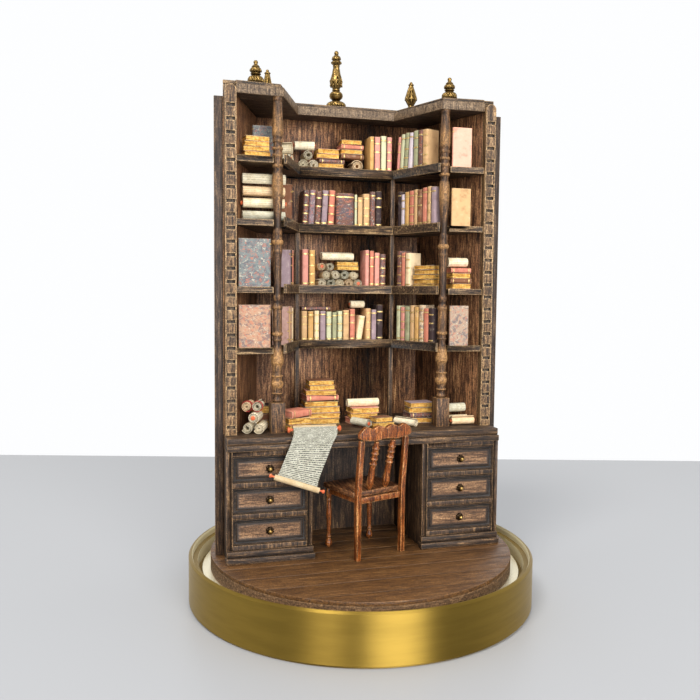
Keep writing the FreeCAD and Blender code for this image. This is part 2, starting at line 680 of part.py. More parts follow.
def upper_standing_books():
    books = standing(CENTRE_BAY, ROW_1_CENTRE[0], ROW_FLOORS[0], ROW_1_CENTRE[1])
    books += standing(RIGHT_BAY, ROW_1_RIGHT[0], ROW_FLOORS[0], ROW_1_RIGHT[1])
    books += standing(CENTRE_BAY, ROW_2_CENTRE[0], ROW_FLOORS[1], ROW_2_CENTRE[1])
    books += standing(RIGHT_BAY, ROW_2_RIGHT[0], ROW_FLOORS[1], ROW_2_RIGHT[1])
    books += standing(LEFT_BAY, ROW_2_LEFT[0], ROW_FLOORS[1], ROW_2_LEFT[1])
    return books


def lower_standing_books():
    books = standing(CENTRE_BAY, ROW_3_CENTRE_LEFT[0], ROW_FLOORS[2], ROW_3_CENTRE_LEFT[1])
    books += standing(CENTRE_BAY, ROW_3_CENTRE_RIGHT[0], ROW_FLOORS[2], ROW_3_CENTRE_RIGHT[1])
    books += standing(RIGHT_BAY, ROW_3_RIGHT[0], ROW_FLOORS[2], ROW_3_RIGHT[1])
    books += standing(LEFT_BAY, ROW_3_LEFT[0], ROW_FLOORS[2], ROW_3_LEFT[1])
    books += standing(CENTRE_BAY, ROW_4_CENTRE[0], ROW_FLOORS[3], ROW_4_CENTRE[1])
    books += standing(RIGHT_BAY, ROW_4_RIGHT[0], ROW_FLOORS[3], ROW_4_RIGHT[1])
    books += standing(LEFT_BAY, ROW_4_LEFT[0], ROW_FLOORS[3], ROW_4_LEFT[1])
    return books


def cover_books():
    """Thin books stood with a cover to the front of the two wing bays."""
    near = COLUMN_OUT + 0.2
    sizes = [(0, 1, 12.0), (1, 1, 11.6), (2, -1, 14.0), (3, 1, 12.6), (3, -1, 12.6)]
    books = []
    for row, side, tall in sizes:
        width = (COVER_W if side > 0 else COVER_W + 3.2) * RIGHT_WING.fit
        y0 = -WING_SET + 0.9
        book = box(near, near + width, y0, y0 + COVER_T, ROW_FLOORS[row] + 0.02, ROW_FLOORS[row] + tall)
        books.append(book if side > 0 else mirrored(book))
    return books


def pile(bay, x, y, floor, sizes):
    """Books lying on each other; sizes are (length, width, thickness, turn in degrees)."""
    books = []
    z = floor + 0.02
    for drawn, width, thick, turn in sizes:
        length = drawn * bay.fit
        book = box(-length / 2, length / 2, -width / 2, width / 2, z, z + thick - 0.04)
        books.append(bay.put(turned(book, turn, x * bay.fit, y)))
        z += thick
    return books


ROOM = Bay(0, 0, 0.0, 1.0, CASE_DEPTH, 1.0)
LEFT_WING = Bay(-LINING_IN, 0, 0.0, WING_CLEAR, CASE_DEPTH, WING_ROW)
RIGHT_WING = Bay(COLUMN_OUT, 0, 0.0, WING_CLEAR, CASE_DEPTH, WING_ROW)


def lying_books():
    books = pile(LEFT_WING, 6.3, 2.8, ROW_FLOORS[0], [
        (8.0, 4.8, 1.5, 6), (7.8, 5.0, 1.4, -3), (7.6, 4.8, 1.5, 2), (7.4, 4.6, 1.5, 8)])
    books += pile(LEFT_WING, 9.5, 9.4, ROW_FLOORS[0], [(6.4, 1.6, 10.6, 0)])
    books += pile(CENTRE_BAY, 11.6, 4.6, ROW_FLOORS[0], [(8.4, 5.8, 1.3, 4), (8.6, 5.8, 1.4, -3),
                                                         (8.4, 5.8, 1.4, 2)])
    books += pile(CENTRE_BAY, 10.4, 4.4, ROW_FLOORS[0] + 4.2, [(7.6, 5.6, 1.5, -2), (7.4, 5.4, 1.6, 3)])
    books += pile(CENTRE_BAY, 18.4, 4.4, ROW_FLOORS[0] + 4.4, [
        (7.6, 6.0, 1.6, 3), (7.4, 5.8, 1.5, -2), (7.6, 6.0, 1.6, 2), (7.0, 5.8, 1.5, -3)])
    books += pile(CENTRE_BAY, 17.4, 4.4, ROW_FLOORS[2] + 5.9, [(7.6, 5.0, 1.4, 2), (7.4, 5.0, 1.4, -3)])
    books += pile(RIGHT_BAY, 13.6, 3.6, ROW_FLOORS[2], [
        (9.4, 5.2, 1.5, 2), (9.0, 5.2, 1.5, -3), (9.2, 5.4, 1.6, 3), (8.8, 5.0, 1.5, -2), (8.6, 5.0, 1.4, 2)])
    books += pile(RIGHT_WING, 4.35, 3.2, ROW_FLOORS[2], [
        (6.6, 6.0, 1.7, 3), (6.8, 6.0, 1.6, -3), (6.4, 5.8, 1.7, 2), (6.6, 5.8, 1.6, -2)])
    books += pile(CENTRE_BAY, 6.6, 4.2, ROW_FLOORS[3] + 10.5, [(9.6, 5.0, 1.2, 1)])
    books += pile(ROOM, -9.8, RECESS_Y - 5.2, DESK_Z, [
        (11.6, 8.0, 1.8, 2), (12.4, 8.2, 1.8, -3), (11.8, 8.2, 2.0, 2), (11.2, 7.8, 1.7, -2),
        (10.6, 7.6, 1.9, 3),
        (10.2, 7.4, 1.6, -4), (8.6, 6.6, 1.6, 3), (8.4, 6.4, 1.5, -2)])
    books += pile(ROOM, -20.0, 3.4, DESK_Z, [(8.0, 6.0, 2.0, 24), (7.6, 6.0, 2.0, 14), (7.8, 6.0, 2.2, 30)])
    books += pile(LEFT_WING, 9.3, 10.8, DESK_Z, [(6.2, 7.0, 2.4, 4), (6.0, 6.8, 2.2, -4), (6.2, 6.6, 2.4, 3)])
    books += pile(ROOM, 3.6, 11.2, DESK_Z, [(9.4, 7.0, 1.8, 8), (9.0, 6.8, 1.7, -4), (9.4, 6.6, 1.8, 5)])
    books += pile(ROOM, 7.4, 3.4, DESK_Z, [(7.4, 5.4, 1.6, 8), (6.2, 4.6, 1.5, 14)])
    books += pile(ROOM, 22.4, 9.4, DESK_Z, [
        (9.0, 6.2, 1.7, -8), (8.8, 6.2, 1.6, 4), (8.6, 6.0, 1.7, -4), (8.4, 6.0, 1.6, 3)])
    return books


# ---------------------------------------------------------------- scrolls
def scroll(x, y, z, length, radius, yaw, pitch=0.0):
    """Rolled sheet lying with its middle at x, y and its underside at z."""
    roll = Part.makeCylinder(radius, length, Vector(0, 0, -length / 2))
    roll.rotate(Vector(0, 0, 0), Vector(0, 1, 0), 90 - pitch)
    roll.rotate(Vector(0, 0, 0), Vector(0, 0, 1), yaw)
    roll.translate(Vector(x, y, z + radius + 0.02))
    return roll


def heap(bay, x, y, floor, rows, radius, length):
    """Rolls stacked like logs with their ends to the front of a bay; rows are counts from the bottom."""
    rolls = []
    radius = radius * bay.fit
    pitch = 2 * radius + 0.1
    for level, count in enumerate(rows):
        for k in range(count):
            along = x * bay.fit + (k - (count - 1) / 2) * pitch
            rolls.append(bay.put(scroll(along, y, floor + level * pitch * 0.88, length, radius, 90)))
    return rolls


def scrolls():
    rolls = []
    z = ROW_FLOORS[1]
    for length, radius, yaw in [(12.8, 1.65, 1), (12.4, 1.75, -1), (12.6, 1.7, 1), (12.8, 1.85, -1)]:
        rolls.append(LEFT_WING.put(scroll(9.0 * LEFT_WING.fit, 4.7, z, length * LEFT_WING.fit, radius, yaw)))
        z += 2 * radius + 0.08
    rolls += heap(LEFT_BAY, 17.4, 4.0, ROW_FLOORS[0], [2, 1], 1.95, 6.0)
    rolls += heap(CENTRE_BAY, 3.6, 4.0, ROW_FLOORS[0], [2, 1], 1.7, 6.2)
    rolls.append(CENTRE_BAY.put(scroll(2.8, 3.4, ROW_FLOORS[0] + 6.6, 6.4, 1.6, -6)))
    rolls.append(scroll(4.0, 24.2, ROW_FLOORS[0], 6.0, 2.1, 90))
    rolls += heap(CENTRE_BAY, 14.6, 4.2, ROW_FLOORS[2], [5, 4], 1.5, 6.0)
    rolls += heap(CENTRE_BAY, 9.8, 4.2, ROW_FLOORS[2] + 5.6, [2], 1.4, 5.6)
    rolls.append(scroll(-1.8, 24.2, ROW_FLOORS[2] + 9.0, 11.0, 1.5, 4))
    rolls.append(RIGHT_WING.put(scroll(3.75 * RIGHT_WING.fit, 3.0, ROW_FLOORS[2] + 6.7,
                                       6.8 * RIGHT_WING.fit, 1.8, 4)))
    rolls.append(scroll(5.0, 24.0, ROW_FLOORS[3] + 11.3, 5.0, 1.3, 8))
    left_wing = Bay(-LINING_IN + 6.1 * LEFT_WING.fit, 1.6, -20.0, WING_CLEAR, ANGLED_DEPTH, WING_ROW)
    rolls += heap(left_wing, 0.0, 0.0, DESK_Z, [2, 1], 1.7, 7.4)
    rolls += heap(left_wing, -0.6, 0.4, DESK_Z + 6.5, [2], 1.5, 6.6)
    rolls.append(scroll(3.4, 10.6, DESK_Z + 5.4, 10.6, 1.4, 4))
    rolls.append(scroll(0.6, 3.0, DESK_Z, 7.0, 1.5, -62))
    rolls.append(scroll(15.4, 2.8, DESK_Z, 8.2, 1.3, -58))
    wing = RIGHT_WING.fit
    for x, y, up, length, radius, yaw in [(5.35, 0.0, 0.0, 7.6, 1.5, 0), (4.75, 3.4, 0.0, 7.2, 1.5, 0),
                                          (4.55, 4.6, 3.2, 7.0, 1.7, 4)]:
        rolls.append(RIGHT_WING.put(scroll(x * wing, y, DESK_Z + up, length * wing, radius, yaw)))
    return rolls


SCROLL_ROLL_R = 1.6
SHEET_T = 0.3
ROLL_LEFT = (-22.9, -6.5)
ROLL_RIGHT = (-9.9, -6.5)
SHEET_STATIONS = [
    ((-22.9, -8.5, 1.2), (-9.9, -8.5, 1.2)),
    ((-24.3, -10.2, -1.6), (-11.4, -10.4, -2.0)),
    ((-26.6, -12.2, -5.6), (-14.6, -13.0, -7.0)),
    ((-28.4, -13.5, -9.0), (-18.2, -15.5, -12.0)),
]
ROLLER_ENDS = ((-29.6, -14.0, -10.2), (-17.2, -16.6, -14.2))
ROLLER_R = 1.0
TIP_R = 0.55
TIP_LEN = 1.6


def hanging_scroll():
    """A scroll whose roll lies on the desk and whose sheet hangs over the edge to its lower roller."""
    top_z = DESK_Z + SCROLL_ROLL_R + 0.05
    upper_a = (ROLL_LEFT[0], ROLL_LEFT[1], top_z)
    upper_b = (ROLL_RIGHT[0], ROLL_RIGHT[1], top_z)
    solids = [rod(upper_a, upper_b, SCROLL_ROLL_R)]
    solids.append(rod((upper_a[0] - TIP_LEN, upper_a[1], top_z), upper_a, TIP_R))
    solids.append(rod(upper_b, (upper_b[0] + TIP_LEN, upper_b[1], top_z), TIP_R))
    rings = []
    for left, right in SHEET_STATIONS:
        corners = [Vector(left[0], left[1], DESK_Z + left[2]), Vector(right[0], right[1], DESK_Z + right[2])]
        corners += [corners[1] + Vector(0, SHEET_T, 0), corners[0] + Vector(0, SHEET_T, 0)]
        rings.append(Part.makePolygon(corners + corners[:1]))
    solids.append(Part.makeLoft(rings, True, True))
    low_a = Vector(*ROLLER_ENDS[0]) + Vector(0, 0, DESK_Z)
    low_b = Vector(*ROLLER_ENDS[1]) + Vector(0, 0, DESK_Z)
    run = (low_b - low_a).normalize()
    solids.append(rod(low_a, low_b, ROLLER_R))
    solids.append(rod(low_a - run * TIP_LEN, low_a, TIP_R))
    solids.append(rod(low_b, low_b + run * TIP_LEN, TIP_R))
    return solids


# ---------------------------------------------------------------- build
os.makedirs("parts", exist_ok=True)

save("brass_tray", [brass_tray()])
save("tray_floor_plate", [tray_plate()])
save("floor_disc", [Part.makeCylinder(DISC_R, DISC_T, Vector(0, 0, PLATE_TOP))])
save("floor_boards", floor_boards())

for side, flip in (("right", False), ("left", True)):
    def handed(solids, flip=flip):
        return [mirrored(solid) for solid in solids] if flip else solids

    save("side_board_" + side, handed([side_board()]))
    save("dentil_post_" + side, handed([dentil_post()]))
    save("column_" + side, handed([column()]))
    save("cabinet_" + side, handed(cabinet_boards()))
    for row, level in enumerate(("bottom", "middle", "top")):
        tag = side + "_" + level
        save("drawer_front_" + tag, handed([drawer_front(row)]))
        save("drawer_box_" + tag, handed(drawer_box(row)))
        save("drawer_knob_" + tag, handed([drawer_knob(row)]))

save("side_linings", both(side_lining()))
save("back_panel", back_panel())
save("corner_uprights", corner_uprights())
for number, under in enumerate(SHELF_UNDERSIDES, start=1):
    save("shelf_" + str(number), shelf(under))
save("cornice_board", cornice(CORNICE_Z, CORNICE_T, 0.0, True))
save("cornice_cap", cornice(CORNICE_Z + CORNICE_T, CAP_T, CAP_SET, True))
save("finial_centre", [finial(TALL_FINIAL, *TALL_FINIAL_PLACE)])
save("finials_front", [finial(SQUAT_FINIAL, x, y) for x, y in FRONT_FINIALS])
save("finials_rear", [finial(CONE_FINIAL, *CONE_FINIAL_PLACE), finial(DROP_FINIAL, *DROP_FINIAL_PLACE)])
save("desk_top", [desk_top()])
save("desk_moulding", [desk_moulding()])
save("face_frames", [part for strip in face_frame() for part in both(strip)])
save("cabinet_plinths", [part for strip in plinth() for part in both(strip)])
save("kneehole_back", [box(-CABINET_IN, CABINET_IN, KNEE_BACK_Y - PANEL_BOARD, KNEE_BACK_Y, FLOOR_Z,
                           DESK_UNDER)])
save("chair_seat", chair_place(chair_seat()))
save("chair_back_legs", chair_place(chair_back_legs()))
save("chair_front_legs", chair_place(chair_front_legs()))
save("chair_seat_rails", chair_place(chair_seat_rails()))
save("chair_crest_rail", chair_place([chair_crest_rail()]))
save("chair_spindles", chair_place(chair_spindles()))
save("standing_books_upper", upper_standing_books())
save("standing_books_lower", lower_standing_books())
save("cover_books", cover_books())
save("lying_books", lying_books())
save("scrolls", scrolls())
save("hanging_scroll", hanging_scroll())
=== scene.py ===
"""Finishes of a miniature library bookcase with desk and chair on a round brass base.

Metres, +Z up, origin at the centre of the base's underside, front towards -Y.
"""
import json
import math
import random

import bmesh
import bpy
from mathutils import Matrix, Vector

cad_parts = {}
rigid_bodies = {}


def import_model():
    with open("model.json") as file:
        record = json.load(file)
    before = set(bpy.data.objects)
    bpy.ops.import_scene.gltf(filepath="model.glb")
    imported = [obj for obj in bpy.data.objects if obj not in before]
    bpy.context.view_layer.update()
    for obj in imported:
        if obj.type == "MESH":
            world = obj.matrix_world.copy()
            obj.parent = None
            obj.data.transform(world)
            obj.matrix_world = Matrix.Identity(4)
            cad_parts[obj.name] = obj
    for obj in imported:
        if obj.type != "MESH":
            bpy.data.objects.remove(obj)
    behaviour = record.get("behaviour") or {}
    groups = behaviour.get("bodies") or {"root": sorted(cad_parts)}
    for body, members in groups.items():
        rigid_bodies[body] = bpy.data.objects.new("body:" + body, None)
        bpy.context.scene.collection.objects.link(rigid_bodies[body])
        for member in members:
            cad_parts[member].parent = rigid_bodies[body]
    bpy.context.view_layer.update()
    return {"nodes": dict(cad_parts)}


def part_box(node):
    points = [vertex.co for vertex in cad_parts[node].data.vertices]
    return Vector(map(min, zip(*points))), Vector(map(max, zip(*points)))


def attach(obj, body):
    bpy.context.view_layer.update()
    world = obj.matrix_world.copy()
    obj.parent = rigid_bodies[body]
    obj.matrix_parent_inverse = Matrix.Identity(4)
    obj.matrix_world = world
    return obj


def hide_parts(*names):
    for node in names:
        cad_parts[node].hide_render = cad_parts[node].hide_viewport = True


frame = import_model()

MM = 0.001
NODES = frame["nodes"]
rng = random.Random(24)


# ---------------------------------------------------------------- modelling helpers
def deselect():
    if bpy.context.object and bpy.context.object.mode != "OBJECT":
        bpy.ops.object.mode_set(mode="OBJECT")
    bpy.ops.object.select_all(action="DESELECT")


def make_active(piece):
    deselect()
    piece.select_set(True)
    bpy.context.view_layer.objects.active = piece


def edit(piece):
    make_active(piece)
    bpy.ops.object.mode_set(mode="EDIT")
    bpy.ops.mesh.select_mode(type="VERT")
    bpy.ops.mesh.select_all(action="DESELECT")


def done():
    bpy.ops.object.mode_set(mode="OBJECT")


def pick(piece, kind, test):
    """Selects the vertices, edges or faces of the edited piece that pass a test."""
    bpy.ops.mesh.select_mode(type={"verts": "VERT", "edges": "EDGE", "faces": "FACE"}[kind])
    bpy.ops.mesh.select_all(action="DESELECT")
    shape = bmesh.from_edit_mesh(piece.data)
    for part in getattr(shape, kind):
        if test(part):
            part.select = True
    shape.select_flush_mode()
    bmesh.update_edit_mesh(piece.data)


def block(name, centre, size):
    """A cube brought to its size and place, in millimetres."""
    deselect()
    bpy.ops.mesh.primitive_cube_add(size=1, location=[c * MM for c in centre])
    piece = bpy.context.object
    piece.name = name
    piece.scale = [s * MM for s in size]
    bpy.ops.object.transform_apply(location=True, rotation=True, scale=True)
    return piece


def set_finish(piece, *finishes):
    piece.data.materials.clear()
    for finish in finishes:
        piece.data.materials.append(finish)


def apply_modifier(piece, kind, **settings):
    make_active(piece)
    modifier = piece.modifiers.new(kind.lower(), kind)
    for key, value in settings.items():
        setattr(modifier, key, value)
    bpy.ops.object.modifier_apply(modifier=modifier.name)


def smooth(piece, degrees=35.0):
    make_active(piece)
    bpy.ops.object.shade_smooth_by_angle(angle=math.radians(degrees))


def copy_of(piece, name):
    twin = bpy.data.objects.new(name, piece.data.copy())
    bpy.context.scene.collection.objects.link(twin)
    return twin


def join(pieces, name):
    deselect()
    for piece in pieces:
        piece.select_set(True)
    bpy.context.view_layer.objects.active = pieces[0]
    if len(pieces) > 1:
        bpy.ops.object.join()
    pieces[0].name = name
    pieces[0].data.name = name
    return pieces[0]


def lathe(name, profile, centre=(0.0, 0.0, 0.0), steps=32):
    """A profile of (radius, height) points spun round an upright axis, in millimetres."""
    deselect()
    bpy.ops.mesh.primitive_plane_add(size=MM)
    piece = bpy.context.object
    piece.name = name
    bpy.ops.object.mode_set(mode="EDIT")
    bpy.ops.mesh.select_mode(type="VERT")
    bpy.ops.mesh.select_all(action="SELECT")
    bpy.ops.mesh.merge(type="CENTER")
    at = Vector((0, 0, 0))
    for number, (radius, height) in enumerate(profile):
        to = Vector((radius, 0, height)) * MM
        if number:
            bpy.ops.mesh.extrude_region_move(TRANSFORM_OT_translate={"value": to - at})
        else:
            bpy.ops.transform.translate(value=to)
        at = to
    bpy.ops.mesh.select_all(action="SELECT")
    bpy.ops.mesh.spin(steps=steps, angle=2 * math.pi, center=(0, 0, 0), axis=(0, 0, 1))
    bpy.ops.mesh.select_all(action="SELECT")
    bpy.ops.mesh.remove_doubles(threshold=2e-6)
    bpy.ops.mesh.normals_make_consistent(inside=False)
    bpy.ops.transform.translate(value=Vector(centre) * MM)
    done()
    return piece


def flute(piece, centre, low, high, count, factor, steps):
    """Draws every other group of a spun piece's lines in towards the axis, between two heights."""
    edit(piece)
    x, y, z = (c * MM for c in centre)
    period = steps / count

    def hollow(vert):
        if not z + low * MM <= vert.co.z <= z + high * MM:
            return False
        turn = math.atan2(vert.co.y - y, vert.co.x - x) / (2 * math.pi) * steps
        return round(turn) % period < 0.5

    pick(piece, "verts", hollow)
    bpy.ops.transform.resize(value=(factor, factor, 1.0), center_override=(x, y, z))
    done()


def ride(piece, body, slot, *stands_for):
    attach(piece, body)
    if stands_for:
        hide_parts(*stands_for)
    return piece


# ---------------------------------------------------------------- materials
def tint(red, green, blue):
    """Linear colour from the usual 0 to 255 values."""
    def line(value):
        value /= 255.0
        return value / 12.92 if value <= 0.04045 else ((value + 0.055) / 1.055) ** 2.4
    return (line(red), line(green), line(blue), 1.0)


class Finish:
    """A node material on Object coordinates, in millimetres."""

    def __init__(self, name, roughness=0.6, metallic=0.0, specular=0.4):
        self.material = bpy.data.materials.new(name)
        self.material.use_nodes = True
        self.tree = self.material.node_tree
        self.shader = self.tree.nodes["Principled BSDF"]
        self.shader.inputs["Roughness"].default_value = roughness
        self.shader.inputs["Metallic"].default_value = metallic
        self.shader.inputs["Specular IOR Level"].default_value = specular
        coordinates = self.tree.nodes.new("ShaderNodeTexCoord")
        self.place = self.scaled(coordinates.outputs["Object"], (1000.0, 1000.0, 1000.0))

    def link(self, source, target):
        if isinstance(source, (int, float, tuple)):
            target.default_value = source
        else:
            self.tree.links.new(source, target)

    def scaled(self, vector, scale):
        node = self.tree.nodes.new("ShaderNodeMapping")
        node.inputs["Scale"].default_value = scale
        self.link(vector, node.inputs["Vector"])
        return node.outputs["Vector"]

    def attribute(self, name):
        node = self.tree.nodes.new("ShaderNodeAttribute")
        node.attribute_name = name
        return node

    def noise(self, vector, scale=1.0, detail=4.0, roughness=0.6, distortion=0.0):
        node = self.tree.nodes.new("ShaderNodeTexNoise")
        self.link(vector, node.inputs["Vector"])
        for key, value in (("Scale", scale), ("Detail", detail), ("Roughness", roughness),
                           ("Distortion", distortion)):
            node.inputs[key].default_value = value
        return node.outputs["Fac"]

    def math(self, operation, first, second=0.0, third=0.0):
        node = self.tree.nodes.new("ShaderNodeMath")
        node.operation = operation
        self.link(first, node.inputs[0])
        self.link(second, node.inputs[1])
        self.link(third, node.inputs[2])
        return node.outputs[0]

    def band(self, value, low, high, to_low=0.0, to_high=1.0):
        node = self.tree.nodes.new("ShaderNodeMapRange")
        node.interpolation_type = "SMOOTHSTEP"
        self.link(value, node.inputs["Value"])
        for key, number in (("From Min", low), ("From Max", high), ("To Min", to_low), ("To Max", to_high)):
            node.inputs[key].default_value = number
        return node.outputs["Result"]

    def mix(self, factor, first, second, blend="MIX"):
        node = self.tree.nodes.new("ShaderNodeMix")
        node.data_type = "RGBA"
        node.blend_type = blend
        node.clamp_factor = True
        self.link(factor, node.inputs[0])
        self.link(first, node.inputs[6])
        self.link(second, node.inputs[7])
        return node.outputs[2]

    def normal_part(self, axis):
        node = self.tree.nodes.new("ShaderNodeNewGeometry")
        split = self.tree.nodes.new("ShaderNodeSeparateXYZ")
        self.link(node.outputs["Normal"], split.inputs[0])
        return self.math("ABSOLUTE", split.outputs[axis])

    def coordinate(self, axis):
        split = self.tree.nodes.new("ShaderNodeSeparateXYZ")
        self.link(self.place, split.inputs[0])
        return split.outputs[axis]

    def edges(self, radius, sharp=0.93, flat=0.995):
        """1 close to a hard edge and 0 on a flat face."""
        rounded = self.tree.nodes.new("ShaderNodeBevel")
        rounded.samples = 4
        rounded.inputs["Radius"].default_value = radius * MM
        true = self.tree.nodes.new("ShaderNodeNewGeometry")
        dot = self.tree.nodes.new("ShaderNodeVectorMath")
        dot.operation = "DOT_PRODUCT"
        self.link(rounded.outputs["Normal"], dot.inputs[0])
        self.link(true.outputs["Normal"], dot.inputs[1])
        return self.band(dot.outputs["Value"], sharp, flat, 1.0, 0.0)

    def crevices(self, distance, inside=False, low=0.35, high=0.95):
        """1 in a recess, or with inside set on a ridge or bead, and 0 on open faces."""
        node = self.tree.nodes.new("ShaderNodeAmbientOcclusion")
        node.samples = 4
        node.inside = inside
        node.only_local = True
        node.inputs["Distance"].default_value = distance * MM
        return self.band(node.outputs["AO"], low, high, 1.0, 0.0)

    def bump(self, height, distance, strength=1.0):
        node = self.tree.nodes.new("ShaderNodeBump")
        node.inputs["Strength"].default_value = strength
        node.inputs["Distance"].default_value = distance * MM
        self.link(height, node.inputs["Height"])
        self.link(node.outputs["Normal"], self.shader.inputs["Normal"])

    def finish(self, colour, roughness=None):
        self.link(colour, self.shader.inputs["Base Color"])
        if roughness is not None:
            self.link(roughness, self.shader.inputs["Roughness"])
        return self.material


GRAIN_ALONG = {"x": (0.11, 1.6, 1.6), "y": (1.6, 0.11, 1.6), "z": (1.6, 1.6, 0.11)}
STREAK_ALONG = {"x": (0.45, 3.6, 3.6), "y": (3.6, 0.45, 3.6), "z": (3.6, 3.6, 0.45)}


def wood(name, along, dark, mid, pale, worn=0.6, edge=0.35, painted_shade=0.8, scored=False, beads=None, recess=1.1,
         stained_rim=False, turned=None, gloss=0.55):
    """Stained wood with grain along an axis, pale rubbed edges and painted shade in its recesses."""
    make = Finish(name, gloss)
    grain = make.noise(make.scaled(make.place, GRAIN_ALONG[along]), 1.0, 6.0, 0.65, 0.7)
    streaks = make.noise(make.scaled(make.place, STREAK_ALONG[along]), 1.0, 3.0, 0.6, 0.2)
    clouds = make.noise(make.place, 0.16, 3.0, 0.5)
    colour = make.mix(make.band(grain, 0.39, 0.57), dark, mid)
    colour = make.mix(make.math("MULTIPLY", make.band(clouds, 0.42, 0.66), 0.45), colour, mid)
    colour = make.mix(make.math("MULTIPLY", make.band(streaks, 0.51, 0.60), 0.80), colour, dark)
    speckle = make.noise(make.place, 2.2, 3.0, 0.7)
    brushed = make.math("MULTIPLY", make.band(grain, 0.52, 0.66), make.band(clouds, 0.36, 0.58))
    colour = make.mix(make.math("MULTIPLY", brushed, worn * 0.70), colour, pale)
    patches = make.band(make.noise(make.place, 0.9, 4.0, 0.7), 0.30, 0.62, 0.25, 1.0)
    if scored:
        upright = make.band(make.normal_part(2), 0.3, 0.7, 1.0, 0.0)
        hatch = make.noise(make.scaled(make.place, (5.5, 5.5, 0.30)), 1.0, 2.0, 0.5)
        front = make.mix(make.band(hatch, 0.36, 0.58), mid, pale)
        colour = make.mix(make.math("MULTIPLY", upright, make.math("MULTIPLY", patches, worn)),
                          colour, front)
    if turned:
        middle_x, middle_y, widest = turned
        across = make.math("SUBTRACT", make.math("ABSOLUTE", make.coordinate(0)), middle_x)
        away = make.math("SUBTRACT", make.coordinate(1), middle_y)
        radius = make.math("SQRT", make.math("ADD", make.math("MULTIPLY", across, across),
                                             make.math("MULTIPLY", away, away)))
        # painted shade: darker where the turning narrows, at its necks
        colour = make.mix(make.math("MULTIPLY", make.band(radius, widest * 0.66, widest * 0.50), 0.85),
                          colour, dark)
        # paler on the widest rings: rubbed wear and painted highlight
        ridge = make.math("MULTIPLY", make.band(radius, widest * 0.70, widest * 0.90), patches)
        ridge = make.math("MULTIPLY", ridge, make.band(radius, widest * 1.06, widest * 1.02))
        colour = make.mix(make.math("MULTIPLY", ridge, worn * 0.8), colour, pale)
    if edge:
        rub = make.math("MULTIPLY", make.edges(edge), patches)
        colour = make.mix(make.math("MULTIPLY", rub, worn), colour, pale)
    if beads is not None:
        ridge = make.crevices(beads, inside=True, low=0.30, high=0.85)
        colour = make.mix(make.math("MULTIPLY", make.math("MULTIPLY", ridge, patches), worn), colour, pale)
    mottled = make.mix(make.band(speckle, 0.38, 0.62), (0.50, 0.47, 0.45, 1), (1.22, 1.2, 1.15, 1))
    colour = make.mix(1.0, colour, mottled, "MULTIPLY")
    # painted shade: recesses found by an ambient occlusion node are darkened towards a near-black copy of
    # the dark colour
    if painted_shade:
        hollow = make.crevices(recess)
        painted_shade_colour = (dark[0] * 0.25, dark[1] * 0.25, dark[2] * 0.25, 1.0)
        colour = make.mix(make.math("MULTIPLY", hollow, painted_shade), colour, painted_shade_colour)
    if stained_rim:
        rim = make.attribute("rim").outputs["Fac"]
        uneven = make.math("ADD", rim, make.math("MULTIPLY", make.math("SUBTRACT", grain, 0.5), 1.1))
        colour = make.mix(make.band(uneven, 0.20, 0.90), colour, tint(30, 20, 14))
    make.bump(make.math("ADD", grain, make.math("MULTIPLY", streaks, 0.6)), 0.20, 0.7)
    return make.finish(colour, make.band(grain, 0.2, 0.8, gloss + 0.12, gloss - 0.10))


SOOT = tint(30, 21, 16)
PALE_OAK = tint(178, 146, 106)

case_wood = wood("case_wood", "z", SOOT, tint(76, 55, 39), PALE_OAK, 0.5, 0.34)
lining_wood = wood("lining_wood", "z", tint(50, 31, 20), tint(150, 104, 70), tint(222, 174, 122), 0.9, 0.28)
shelf_wood = wood("shelf_wood", "x", tint(26, 19, 14), tint(92, 70, 50),
                  tint(188, 156, 112), 1.0, 0.50, 0.9)
cornice_wood = wood("cornice_wood", "x", tint(28, 20, 15), tint(78, 59, 43),
                    tint(152, 128, 100), 0.9, 0.35, 0.8, scored=True)
post_wood = wood("post_wood", "z", tint(44, 30, 20), tint(136, 104, 70),
                 tint(208, 174, 128), 1.0, 0.50, 1.0)
COLUMN_WIDEST = 1.95
column_middle = [(a + b) / 2 / MM for a, b in zip(*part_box("column_right"))]
turned_wood = wood("turned_wood", "z", tint(32, 21, 14), tint(112, 80, 53), tint(198, 150, 94), 0.85,
                   0.25, 0.9, recess=0.5, turned=(column_middle[0], column_middle[1], COLUMN_WIDEST))
desk_wood = wood("desk_wood", "x", SOOT, tint(74, 54, 37), tint(172, 136, 96), 0.9, 0.42, 1.0)
frame_wood = wood("frame_wood", "z", SOOT, tint(82, 60, 42), tint(174, 138, 98), 0.9, 0.42, 1.0)
surround_wood = wood("surround_wood", "x", tint(12, 8, 6),
                     tint(34, 23, 16), tint(140, 106, 72), 0.6, 0.20, 0.7)
chair_wood = wood("chair_wood", "z", tint(70, 33, 12), tint(158, 86, 36),
                  tint(232, 178, 118), 0.85, 0.36, 1.0, beads=0.18, gloss=0.30)
seat_wood = wood("seat_wood", "y", tint(40, 22, 14), tint(128, 80, 48),
                 tint(204, 152, 102), 1.0, 0.50, 0.6, gloss=0.45)
floor_wood = wood("floor_wood", "x", tint(74, 49, 27), tint(114, 79, 44),
                  tint(168, 130, 86), 0.35, 0.34, 1.2, gloss=0.42)
disc_wood = wood("disc_wood", "x", tint(82, 60, 42), tint(128, 98, 70), tint(170, 138, 102), 0.7, 0.50, 0.5)
field_wood = wood("field_wood", "x", tint(72, 50, 34), tint(144, 108, 76),
                  tint(192, 154, 112), 0.85, 0.25, 0.5, stained_rim=True)


